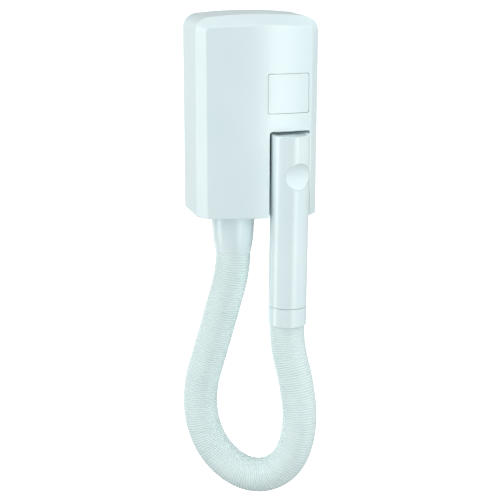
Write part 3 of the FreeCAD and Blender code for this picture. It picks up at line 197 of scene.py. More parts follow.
@dataclass(frozen=True)
class Finish:
    """A real material and how its surface was made.

    Attributes:
        name: What a maker calls it.
        slot: The material slot of the frame's record that it belongs to; not used.
        colour: Its main colour, in sRGB hex.
        shade: The colour that it drifts to, in sRGB hex; on a ribbed finish, the colour of the painted
            groove shade and dust.
        roughness: Mean roughness of the surface.
        spread: How far the roughness strays each way.
        metallic: One for a bare metal.
        ior: Index of refraction, or None for a metal, which keeps the default.
        pattern: How the surface was made.
        pitch: Size of the pattern's repeat.
        relief: Height of the pattern.
        drift: Size of the slow patches of the colour.
        axis: Direction that bands are stacked in, or that brush lines run along.
        sheen: Strength of the dusty edge glow.
        scatter: Share of the light that enters and comes out again.
        specular: Strength of the reflection of a surface that isn't metal.
    """

    name: str
    slot: str
    colour: str
    shade: str
    roughness: float
    spread: float = 0.04
    metallic: float = 0.0
    ior: float | None = 1.5
    pattern: Pattern = Pattern.MOULDED
    pitch: float = 0.8 * MM
    relief: float = 0.004 * MM
    drift: float = 40 * MM
    axis: str = "Y"
    sheen: float = 0.0
    scatter: float = 0.0
    specular: float = 0.5

    def _height(self, tree: bpy.types.NodeTree, place: bpy.types.NodeSocket) -> bpy.types.NodeSocket:
        """Add the nodes of the pattern.

        Args:
            tree: The material's node tree.
            place: Object coordinates.

        Returns:
            The height of the pattern, from 0 to 1.
        """
        scale = 1.0 / self.pitch
        bands = BAND_PERIOD * scale
        if self.pattern is Pattern.BRUSHED:
            stretch = [BRUSH_STRETCH if axis == self.axis else 1.0 for axis in "XYZ"]
            along = add_node(tree, "ShaderNodeMapping", {"Vector": place, "Scale": stretch})
            lines = add_node(
                tree, "ShaderNodeTexNoise", {"Vector": along.outputs[0], "Scale": scale, "Detail": 3.0}
            )
            return lines.outputs["Fac"]
        if self.pattern is Pattern.PLATED:
            cells = add_node(tree, "ShaderNodeTexVoronoi", {"Vector": place, "Scale": scale})
            return add_node(tree, "ShaderNodeSeparateColor", {0: cells.outputs["Color"]}).outputs[0]
        if self.pattern is Pattern.BANDED:
            wave = add_node(
                tree,
                "ShaderNodeTexWave",
                {"Vector": place, "Scale": bands, "Distortion": 0.4, "Detail Scale": 0.5},
                bands_direction=self.axis,
            )
            return wave.outputs["Fac"]
        if self.pattern is Pattern.WOVEN:
            warp = add_node(
                tree, "ShaderNodeTexWave", {"Vector": place, "Scale": bands}, bands_direction="X"
            )
            weft = add_node(
                tree, "ShaderNodeTexWave", {"Vector": place, "Scale": bands}, bands_direction="Z"
            )
            cloth = add_node(
                tree,
                "ShaderNodeMath",
                {0: warp.outputs["Fac"], 1: weft.outputs["Fac"]},
                operation="MULTIPLY",
            )
            return cloth.outputs[0]
        if self.pattern is Pattern.PITTED:
            pores = add_node(tree, "ShaderNodeTexVoronoi", {"Vector": place, "Scale": scale})
            edge = add_node(
                tree,
                "ShaderNodeMapRange",
                {
                    "Value": pores.outputs["Distance"],
                    "From Min": PORE_RANGE[0],
                    "From Max": PORE_RANGE[1],
                },
            )
            return edge.outputs[0]
        skin = add_node(
            tree, "ShaderNodeTexNoise", {"Vector": place, "Scale": scale, "Detail": 2.0}
        )
        return skin.outputs["Fac"]

    def build(self) -> bpy.types.Material:
        """Make the material, or find it if it is already made.

        Returns:
            The node material of this finish.
        """
        known = bpy.data.materials.get(self.name)
        if known is not None:
            return known
        material = bpy.data.materials.new(self.name)
        material.use_nodes = True
        material.diffuse_color = linear(self.colour)
        tree = material.node_tree
        shader = tree.nodes["Principled BSDF"]
        place = add_node(tree, "ShaderNodeTexCoord").outputs["Object"]
        height = self._height(tree, place)
        patches = add_node(
            tree, "ShaderNodeTexNoise", {"Vector": place, "Scale": 1.0 / self.drift, "Detail": 2.0}
        )
        share = add_node(
            tree,
            "ShaderNodeMapRange",
            {
                "Value": patches.outputs["Fac"],
                "From Min": PATCH_RANGE[0],
                "From Max": PATCH_RANGE[1],
            },
        ).outputs[0]
        # a ribbed surface takes its second colour only in the grooves: painted shade there, with
        # uneven dust
        if self.pattern is Pattern.RIBBED:
            share = self._groove_shade_and_dust(tree, share)
        tint = add_node(
            tree,
            "ShaderNodeMix",
            {0: share, 6: linear(self.colour), 7: linear(self.shade)},
            data_type="RGBA",
        )
        gloss = add_node(
            tree,
            "ShaderNodeMapRange",
            {
                "Value": height,
                "To Min": max(self.roughness - self.spread, 0.02),
                "To Max": min(self.roughness + self.spread, 1.0),
            },
        )
        bump = add_node(
            tree, "ShaderNodeBump", {"Height": height, "Distance": self.relief, "Strength": 1.0}
        )
        tree.links.new(tint.outputs[2], shader.inputs["Base Color"])
        tree.links.new(gloss.outputs[0], shader.inputs["Roughness"])
        tree.links.new(bump.outputs[0], shader.inputs["Normal"])
        shader.inputs["Metallic"].default_value = self.metallic
        if self.ior is not None:
            shader.inputs["IOR"].default_value = self.ior
        shader.inputs["Specular IOR Level"].default_value = self.specular
        shader.inputs["Sheen Weight"].default_value = self.sheen
        shader.inputs["Subsurface Weight"].default_value = self.scatter
        shader.inputs["Subsurface Scale"].default_value = SCATTER_DEPTH
        return material

    def _groove_shade_and_dust(
        self, tree: bpy.types.NodeTree, share: bpy.types.NodeSocket
    ) -> bpy.types.NodeSocket:
        """Keep the second colour to the grooves: painted shade where the grooves fall in shadow, with
        dust gathering unevenly.

        Args:
            tree: The material's node tree.
            share: How the slow patches would share the colours.

        Returns:
            The share of the second colour, by the mesh's own groove attribute.
        """
        groove = add_node(tree, "ShaderNodeAttribute", attribute_name="groove")
        uneven = add_node(tree, "ShaderNodeMapRange", {"Value": share, "To Min": GROOVE_SHADE_AND_DUST_LEAST})
        shade_and_dust = add_node(
            tree,
            "ShaderNodeMath",
            {0: groove.outputs["Fac"], 1: uneven.outputs[0]},
            operation="MULTIPLY",
        )
        return shade_and_dust.outputs[0]


# Injection-moulded ABS from a polished mould: an even, cool white with soft highlights.
WHITE_ABS = Finish(
    "white ABS, polished mould", "white_abs", "#DAE9EB", "#D6E7E9", 0.31,
    ior=1.54, pitch=1.1 * MM, relief=0.003 * MM, drift=90 * MM,
)
# The same ABS from a blasted cavity: a shade duller, so the thumb can feel the button.
SATIN_ABS = Finish(
    "white ABS, satin mould", "white_abs", "#DBEAEC", "#D7E8EA", 0.46,
    ior=1.54, pitch=0.7 * MM, relief=0.006 * MM, drift=60 * MM,
)
# Recycled grey ABS with a coarse spark-eroded grain: dull, with a faint sparkle.
GREY_ABS = Finish(
    "grey ABS, grained mould", "grey_abs", "#A9B1B4", "#9FA8AB", 0.55, 0.08,
    ior=1.54, pitch=1.4 * MM, relief=0.02 * MM,
)
# Plasticised vinyl over a spring: matt, slightly green, with painted shade and uneven dust darkening
# the grooves.
HOSE_VINYL = Finish(
    "corrugated vinyl", "hose_vinyl", "#DDEBEB", "#B2CFCC", 0.66, 0.03,
    ior=1.53, pattern=Pattern.RIBBED, pitch=1.2 * MM, relief=0.002 * MM, drift=30 * MM,
    sheen=0.05,
)
# Electroplated zinc with a clear passivation: pale crystals with a bluish cast.
ZINC_STEEL = Finish(
    "zinc-plated steel", "zinc_steel", "#B4BAC0", "#A6ADB5", 0.36, 0.05,
    metallic=1.0, ior=None, pattern=Pattern.PLATED, pitch=1.3 * MM, relief=0.0004 * MM,
)
# Hard-drawn spring wire: bright, with die lines.
SPRING_STEEL = Finish(
    "hard-drawn spring steel", "spring_steel", "#9EA1A6", "#8B8E94", 0.28, 0.07,
    metallic=1.0, ior=None, pattern=Pattern.BRUSHED, pitch=0.5 * MM, relief=0.003 * MM,
)
# Centreless-ground shaft steel: near mirror, with fine rings about the axis.
GROUND_STEEL = Finish(
    "ground shaft steel", "ground_steel", "#B9BABE", "#A8A9AE", 0.20, 0.05,
    metallic=1.0, ior=None, pattern=Pattern.BANDED, pitch=0.4 * MM, relief=0.001 * MM,
)
# Punched electrical sheet, stacked and lacquered: dark edges of thin layers.
LAMINATIONS = Finish(
    "stacked electrical sheet", "lamination_steel", "#6E7073", "#585A5E", 0.45, 0.10,
    metallic=1.0, ior=None, pattern=Pattern.BANDED, pitch=0.5 * MM, relief=0.05 * MM,
)
# Glass-filled nylon: near black, greyish where the fibres reach the skin.
BLACK_NYLON = Finish(
    "black glass-filled nylon", "black_nylon", "#26282A", "#35383B", 0.50, 0.10,
    ior=1.53, pitch=0.6 * MM, relief=0.012 * MM,
)
# Flame-retardant nylon for the air path: dark grey and slightly shiny.
DARK_NYLON = Finish(
    "dark grey nylon", "dark_nylon", "#45494C", "#3A3E41", 0.44, 0.08,
    ior=1.53, pitch=0.9 * MM, relief=0.01 * MM,
)
# Unfilled nylon: creamy white that lets a little light in.
WHITE_NYLON = Finish(
    "natural nylon", "white_nylon", "#E6E4DA", "#DCD9CB", 0.38, 0.05,
    ior=1.53, pitch=0.8 * MM, relief=0.005 * MM, scatter=0.15,
)
# Epoxy-dipped polyester film: glossy amber yellow.
YELLOW_PLASTIC = Finish(
    "yellow polyester", "yellow_plastic", "#D9A62E", "#C99421", 0.24, 0.05,
    ior=1.57, pitch=1.6 * MM, relief=0.01 * MM,
)
# Solder mask over glass cloth: green gloss with the weave just showing.
CIRCUIT_BOARD = Finish(
    "solder mask on glass cloth", "circuit_board", "#1F6B3A", "#18592F", 0.30, 0.08,
    ior=1.55, pattern=Pattern.WOVEN, pitch=0.9 * MM, relief=0.01 * MM,
)
# Neoprene: matt black with a grey bloom.
BLACK_RUBBER = Finish(
    "black neoprene", "black_rubber", "#1E1F20", "#2D2F30", 0.78, 0.10,
    ior=1.52, pitch=0.5 * MM, relief=0.02 * MM, sheen=0.2,
)
# Silicone sponge: brick red with open pores.
RED_SILICONE = Finish(
    "red silicone sponge", "silicone", "#A44A36", "#923D2B", 0.72, 0.10,
    ior=1.42, pattern=Pattern.PITTED, pitch=0.7 * MM, relief=0.08 * MM,
)
# Free-cutting brass: warm yellow with turning marks.
BRASS = Finish(
    "turned brass", "brass", "#C9A95A", "#B8964A", 0.28, 0.07,
    metallic=1.0, ior=None, pattern=Pattern.BANDED, pitch=0.3 * MM, relief=0.004 * MM,
)
# Sintered bronze soaked in oil: brown, with open pores.
BRONZE = Finish(
    "sintered bronze", "bronze", "#96713F", "#7C5B32", 0.40, 0.12,
    metallic=1.0, ior=None, pattern=Pattern.PITTED, pitch=0.35 * MM, relief=0.03 * MM,
)
# Enamelled copper wire, laid turn by turn: deep copper red under varnish.
COPPER_WIRE = Finish(
    "enamelled copper wire", "copper", "#B0633C", "#8F4B2B", 0.26, 0.08,
    metallic=1.0, ior=None, pattern=Pattern.BANDED, pitch=0.45 * MM, relief=0.12 * MM, axis="X",
)
# Drawn copper bars of the commutator: pink, with a dark brush track.
COPPER_BAR = Finish(
    "drawn copper", "copper", "#C98463", "#8E5A45", 0.30, 0.12,
    metallic=1.0, ior=None, pattern=Pattern.BANDED, pitch=0.6 * MM, relief=0.004 * MM,
)
# Iron-chrome-aluminium wire after its first heat: grey-brown oxide.
HEATING_WIRE = Finish(
    "oxidised heating wire", "heating_wire", "#7A706A", "#5F5752", 0.50, 0.12,
    metallic=1.0, ior=None, pattern=Pattern.BRUSHED, pitch=0.6 * MM, relief=0.004 * MM,
)
# Fired ferrite: black ceramic with a ground face.
FERRITE = Finish(
    "fired ferrite", "ferrite", "#2B2B2E", "#3A3A3E", 0.52, 0.15,
    ior=2.2, pattern=Pattern.PITTED, pitch=0.5 * MM, relief=0.02 * MM,
)
# Pressed electrographite: black with a soft metallic smear.
CARBON = Finish(
    "pressed graphite", "carbon", "#2A2A2B", "#414143", 0.48, 0.12,
    ior=2.0, pattern=Pattern.BRUSHED, pitch=0.4 * MM, relief=0.01 * MM,
)
# Bonded mica sheet: silvery brown flakes in thin layers.
MICA = Finish(
    "bonded mica sheet", "mica", "#B59F78", "#9A835C", 0.36, 0.14,
    ior=1.58, pattern=Pattern.PLATED, pitch=1.8 * MM, relief=0.02 * MM, scatter=0.1,
)
# Deep-drawn aluminium: pale and soft, with draw lines.
ALUMINIUM = Finish(
    "drawn aluminium", "aluminium", "#C4C7CA", "#B2B6BA", 0.33, 0.08,
    metallic=1.0, ior=None, pattern=Pattern.BRUSHED, pitch=0.5 * MM, relief=0.004 * MM,
)
# Painted screed: plain, pale and dull.
FLOOR_PAINT = Finish(
    "pale floor paint", "floor", "#FBFCFC", "#F8FAFA", 0.85, 0.05,
    pitch=6 * MM, relief=0.05 * MM, drift=900 * MM,
)


# ------------------------------------------------------------------ node networks
class Network:
    """A geometry node tree that is built in the script, with named inputs.

    Attributes:
        tree: The node tree.
        start: The node that hands out the inputs.
    """

    def __init__(self, name: str) -> None:
        """Start a network that takes one geometry."""
        self.tree = bpy.data.node_groups.new(name, "GeometryNodeTree")
        self.tree.interface.new_socket(
            "Geometry", in_out="INPUT", socket_type="NodeSocketGeometry"
        )
        self.tree.interface.new_socket(
            "Geometry", in_out="OUTPUT", socket_type="NodeSocketGeometry"
        )
        self.start = self.tree.nodes.new("NodeGroupInput")

    def take(self, name: str, kind: str = "Float") -> bpy.types.NodeSocket:
        """Add a named input.

        Args:
            name: The input's name.
            kind: Float, Int, Vector or Material.

        Returns:
            The socket that hands the input out.
        """
        self.tree.interface.new_socket(name, in_out="INPUT", socket_type=f"NodeSocket{kind}")
        return self.start.outputs[name]

    def add(
        self, kind: str, inputs: Mapping[str | int, object] | None = None, **settings: object
    ) -> bpy.types.Node:
        """Add a node to this network, as add_node does."""
        return add_node(self.tree, kind, inputs, **settings)

    def math(self, operation: str, first: object, second: object = 0.0) -> bpy.types.NodeSocket:
        """Work out one number from one or two others.

        Args:
            operation: What is done with them.
            first: A socket or a number.
            second: A socket or a number.

        Returns:
            The result.
        """
        return self.add("ShaderNodeMath", {0: first, 1: second}, operation=operation).outputs[0]

    def close(self, geometry: bpy.types.NodeSocket) -> None:
        """End the network: real mesh, smooth but for sharp edges, with its material.

        Args:
            geometry: What the network has made.
        """
        real = self.add("GeometryNodeRealizeInstances", {"Geometry": geometry})
        smooth = self.add("GeometryNodeSetShadeSmooth", {"Geometry": real.outputs[0]})
        angle = self.add("GeometryNodeInputMeshEdgeAngle")
        sharp = self.add(
            "FunctionNodeCompare",
            {0: angle.outputs["Unsigned Angle"], 1: SHARP_EDGE},
            data_type="FLOAT",
            operation="GREATER_THAN",
        )
        edged = self.add(
            "GeometryNodeSetShadeSmooth",
            {"Geometry": smooth.outputs[0], "Selection": sharp.outputs[0], "Shade Smooth": False},
            domain="EDGE",
        )
        material = self.take("Material", "Material")
        dressed = self.add(
            "GeometryNodeSetMaterial", {"Geometry": edged.outputs[0], "Material": material}
        )
        self.add("NodeGroupOutput", {0: dressed.outputs[0]})

    def grow(
        self, name: str, seeds: bpy.types.Mesh, sizes: Mapping[str, object], finish: Finish
    ) -> bpy.types.Object:
        """Run the network and keep what it makes as a plain mesh.

        Args:
            name: The new piece's name.
            seeds: The points or edges that the network starts from.
            sizes: The named inputs.
            finish: The finish of the piece.

        Returns:
            The piece, with no modifier left on it.
        """
        piece = link_object(name, seeds)
        modifier = piece.modifiers.new("network", "NODES")
        modifier.node_group = self.tree
        keys = {
            item.name: item.identifier
            for item in self.tree.interface.items_tree
            if item.in_out == "INPUT"
        }
        for label, value in {**sizes, "Material": finish.build()}.items():
            modifier[keys[label]] = value
        grown = piece.evaluated_get(bpy.context.evaluated_depsgraph_get())
        mesh = bpy.data.meshes.new_from_object(grown)
        mesh.materials.clear()
        mesh.materials.append(finish.build())
        mesh.polygons.foreach_set("material_index", [0] * len(mesh.polygons))
        piece.modifiers.remove(modifier)
        piece.data = mesh
        mesh.name = name
        return piece


def seed_mesh(name: str, points: Sequence[Vector], chained: bool = False) -> bpy.types.Mesh:
    """Make a mesh of points, with edges from each to the next if they are chained."""
    mesh = bpy.data.meshes.new(name)
    edges = [(i, i + 1) for i in range(len(points) - 1)] if chained else []
    mesh.from_pydata([tuple(p) for p in points], edges, [])
    return mesh


# ------------------------------------------------------------------------- studio
@dataclass(frozen=True)
class SoftBox:
    """A large soft light that points at the dryer.

    Attributes:
        name: What the light is called.
        azimuth: Degrees round the dryer, 0 in front of it and 90 to its right.
        elevation: Degrees above the middle of the dryer.
        distance: How far away it stands.
        width: Its width.
        height: Its height.
        watts: Its power.
    """

    name: str
    azimuth: float
    elevation: float
    distance: float
    width: float
    height: float
    watts: float


@dataclass
class Studio:
    """Camera, soft lights, pale surroundings and floor.

    Attributes:
        camera_place: Where the camera stands.
        camera_target: What it looks at.
        lens: Focal length, in millimetres.
        sensor: Width of the sensor, in millimetres.
        sight: How far the camera sees.
        floor_level: Height of the floor; the dryer hangs at shoulder height.
        floor_radius: Radius of the round floor.
        floor_sides: Sides of the round floor.
        fill: Strength of the even light from all round.
        backdrop: Strength of the white that the camera sees behind and below the dryer.
        lights: The soft lights.
    """

    camera_place: Vector = field(default_factory=lambda: Vector((-0.4424, -2.1909, 0.2430)))
    camera_target: Vector = field(default_factory=lambda: Vector((0.0, -0.04405, -0.1795)))
    lens: float = 131.45
    sensor: float = 36.0
    sight: float = 200.0
    floor_level: float = -1.5
    floor_radius: float = 60.0
    floor_sides: int = 96
    fill: float = 0.34
    backdrop: float = 1.2
    lights: tuple[SoftBox, ...] = (
        SoftBox("left strip", -92.0, 4.0, 1.7, 0.45, 1.9, 18.7),
        SoftBox("left high", -80.0, 45.0, 1.7, 0.90, 0.7, 3.7),
        SoftBox("left rear", -150.0, 4.0, 1.7, 0.30, 1.9, 5.4),
        SoftBox("front box", 27.0, 4.0, 1.7, 0.80, 1.9, 14.8),
        SoftBox("front strip", 24.0, 4.0, 1.7, 0.30, 1.9, 3.2),
        SoftBox("right high", 65.0, 45.0, 1.7, 0.90, 0.7, 7.1),
        SoftBox("right rear", 150.0, 4.0, 1.7, 0.30, 1.9, 4.5),
        SoftBox("low fill", -20.0, -50.0, 1.7, 1.00, 1.0, 3.4),
        SoftBox("top box", 0.0, 80.0, 1.7, 1.20, 1.2, 6.5),
    )

    def place_camera(self) -> None:
        """Set up the camera."""
        lens = bpy.data.cameras.new("camera")
        lens.lens = self.lens
        lens.sensor_width = self.sensor
        lens.clip_end = self.sight
        camera = link_object("camera", lens)
        camera.location = self.camera_place
        look = self.camera_target - self.camera_place
        camera.rotation_euler = look.to_track_quat("-Z", "Y").to_euler()
        bpy.context.scene.camera = camera

    def place_lights(self) -> None:
        """Set up the soft lights and the pale surroundings, with whites kept white."""
        bpy.context.scene.view_settings.view_transform = "Standard"
        middle = self.camera_target
        for box in self.lights:
            light = bpy.data.lights.new(box.name, "AREA")
            light.shape = "RECTANGLE"
            light.size = box.width
            light.size_y = box.height
            light.energy = box.watts
            lamp = link_object(box.name, light)
            turn = math.radians(box.azimuth)
            lift = math.radians(box.elevation)
            away = Vector(
                (math.sin(turn) * math.cos(lift), -math.cos(turn) * math.cos(lift), math.sin(lift))
            )
            lamp.location = middle + away * box.distance
            lamp.rotation_euler = (-away).to_track_quat("-Z", "Y").to_euler()
            lamp.visible_camera = False
        world = bpy.data.worlds.new("surroundings")
        bpy.context.scene.world = world
        world.use_nodes = True
        tree = world.node_tree
        ray = add_node(tree, "ShaderNodeLightPath").outputs["Is Camera Ray"]
        strength = add_node(
            tree, "ShaderNodeMapRange", {"Value": ray, "To Min": self.fill, "To Max": self.backdrop}
        )
        sky = tree.nodes["Background"]
        sky.inputs["Color"].default_value = linear("#FCFEFF")
        tree.links.new(strength.outputs[0], sky.inputs["Strength"])

    def lay_floor(self) -> None:
        """Lay the plain pale floor, lit evenly from edge to edge."""
        disc = bmesh.new()
        bmesh.ops.create_circle(
            disc, cap_ends=True, segments=self.floor_sides, radius=self.floor_radius
        )
        bmesh.ops.translate(disc, verts=disc.verts, vec=(0.0, 0.0, self.floor_level))
        mesh = bpy.data.meshes.new("floor")
        disc.to_mesh(mesh)
        disc.free()
        floor = link_object("floor", mesh)
        dress(floor, FLOOR_PAINT)
        paint = FLOOR_PAINT.build().node_tree.nodes["Principled BSDF"]
        paint.inputs["Emission Color"].default_value = linear("#FFFFFF")
        paint.inputs["Emission Strength"].default_value = self.backdrop
        floor.visible_diffuse = False
        floor.visible_glossy = False
        floor.visible_shadow = False


# ------------------------------------------------------------------ sub-assemblies
@dataclass
class Assembly:
    """A sub-assembly of the dryer.

    Attributes:
        frame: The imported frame.
        finishes: The finish of each frame node that keeps its own shape.
    """

    frame: dict
    finishes: ClassVar[Mapping[str, Finish]] = {}

    def build(self) -> list[bpy.types.Object]:
        """Make the pieces that the frame holds only as plain solids; by default none."""
        return []

    def dress(self) -> list[bpy.types.Object]:
        """Give the frame's own pieces their finishes.

        Returns:
            The pieces.
        """
        pieces = []
        for name, finish in self.finishes.items():
            piece = self.frame["nodes"][name]
            dress(piece, finish)
            pieces.append(piece)
        return pieces


@dataclass
class Hose(Assembly):
    """The corrugated hose, from the collar under the box to the handset's cuff.

    Attributes:
        diameter: Across the crests of the ribs.
        rib_pitch: From one rib to the next.
        rib_depth: From crest to groove.
        rib_stray: How far single ribs stand out or in, as on a hose in use.
        rib_steps: Rings of faces in each rib.
        rib_power: Roundness of the crests; below one they are fuller than a sine wave's.
        sides: Faces round the hose.
        seed: Seed of the ribs' stray.
        line_steps: Points of the smooth line for each point of the route.
        route: The points that the hose's line is drawn towards.
        hang_start: Where the hose would start to swing with the cuff; not used.
        hang_end: Where it would follow the cuff fully; not used.
    """

    finishes = {
        "hose_collar": WHITE_ABS,
        "hose_cuff": WHITE_ABS,
        "hose_base_insert": WHITE_NYLON,
        "hose_end_insert": WHITE_NYLON,
        "swivel_circlip": SPRING_STEEL,
    }
    diameter: float = 42.0 * MM
    rib_pitch: float = 2.95 * MM
    rib_depth: float = 0.36 * MM
    rib_stray: float = 0.01 * MM
    rib_steps: int = 8
    rib_power: float = 0.8
    sides: int = 56
    seed: int = 4
    line_steps: int = 24
    route: tuple[tuple[float, float, float], ...] = (
        (-0.0240, -0.0600, -0.1756),
        (-0.0240, -0.0600, -0.1980),
        (-0.0360, -0.0537, -0.2470),
        (-0.0495, -0.0466, -0.3000),
        (-0.0625, -0.0398, -0.3480),
        (-0.0610, -0.0405, -0.3940),
        (-0.0445, -0.0493, -0.4320),
        (-0.0155, -0.0645, -0.4560),
        (0.0150, -0.0805, -0.4570),
        (0.0410, -0.0942, -0.4340),
        (0.0520, -0.1000, -0.3870),
        (0.0470, -0.0973, -0.3350),
        (0.0360, -0.08993, -0.28898),
        (0.0360, -0.09170, -0.26304),
    )
    hang_start: Vector = field(default_factory=lambda: Vector((-0.003, -0.06, -0.176)))
    hang_end: Vector = field(default_factory=lambda: Vector((0.015, -0.06, -0.263)))

    def centre_line(self) -> list[Vector]:
        """Read the points of the hose's smooth line.

        Returns:
            Points along the line, close together.
        """
        line = bpy.data.curves.new("hose line", "CURVE")
        line.dimensions = "3D"
        spline = line.splines.new("NURBS")
        spline.points.add(len(self.route) - 1)
        for point, place in zip(spline.points, self.route):
            point.co = (*place, 1.0)
        spline.order_u = 3
        spline.use_endpoint_u = True
        spline.resolution_u = self.line_steps
        guide = link_object("hose line", line)
        mesh = bpy.data.meshes.new_from_object(guide)
        points = [vert.co.copy() for vert in mesh.vertices]
        bpy.data.objects.remove(guide)
        bpy.data.meshes.remove(mesh)
        return points

    def network(self) -> Network:
        """Build the network that corrugates a tube along a line.

        Returns:
            The network, which takes a chain of points.
        """
        net = Network("corrugated tube")
        pitch = net.take("Rib Pitch")
        crest = net.take("Crest Radius")
        depth = net.take("Rib Depth")
        stray = net.take("Rib Stray")
        steps = net.take("Steps per Rib", "Int")
        sides = net.take("Sides", "Int")
        seed = net.take("Seed", "Int")
        line = net.add("GeometryNodeMeshToCurve", {0: net.start.outputs["Geometry"]})
        length = net.add("GeometryNodeCurveLength", {0: line.outputs[0]}).outputs[0]
        ribs = net.math("ROUND", net.math("DIVIDE", length, pitch))
        count = net.math("ADD", net.math("MULTIPLY", ribs, steps), 1.0)
        rings = net.add("GeometryNodeResampleCurve", {"Curve": line.outputs[0], "Count": count})
        index = net.add("GeometryNodeSplineParameter").outputs["Index"]
        turn = net.math("DIVIDE", index, steps)
        phase = net.math("MULTIPLY", net.math("FRACT", turn), math.pi)
        height = net.math("POWER", net.math("SINE", phase), self.rib_power)
        number = net.math("FLOOR", turn)
        chance = net.add(
            "FunctionNodeRandomValue",
            {"Min": -1.0, "Max": 1.0, "ID": number, "Seed": seed},
            data_type="FLOAT",
        )
        lift = net.math("MULTIPLY", chance.outputs["Value"], stray)
        relief = net.math("MULTIPLY", height, net.math("ADD", depth, lift))
        radius = net.math("ADD", net.math("SUBTRACT", crest, depth), relief)
        grooved = net.add(
            "GeometryNodeStoreNamedAttribute",
            {
                "Geometry": rings.outputs[0],
                "Name": "groove",
                "Value": net.math("SUBTRACT", 1.0, height),
            },
            data_type="FLOAT",
            domain="POINT",
        )
        ring = net.add("GeometryNodeCurvePrimitiveCircle", {"Resolution": sides, "Radius": 1.0})
        tube = net.add(
            "GeometryNodeCurveToMesh",
            {
                "Curve": grooved.outputs[0],
                "Profile Curve": ring.outputs[0],
                "Scale": radius,
                "Fill Caps": True,
            },
        )
        net.close(tube.outputs[0])
        return net

    def build(self) -> list[bpy.types.Object]:
        """Returns:
            The hose.
        """
        points = self.centre_line()
        sizes = {
            "Rib Pitch": self.rib_pitch,
            "Crest Radius": self.diameter / 2,
            "Rib Depth": self.rib_depth,
            "Rib Stray": self.rib_stray,
            "Steps per Rib": self.rib_steps,
            "Sides": self.sides,
            "Seed": self.seed,
        }
        seeds = seed_mesh("corrugated_hose", points, chained=True)
        hose = self.network().grow("corrugated_hose", seeds, sizes, HOSE_VINYL)
        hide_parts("hose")
        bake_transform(hose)
        return [hose]


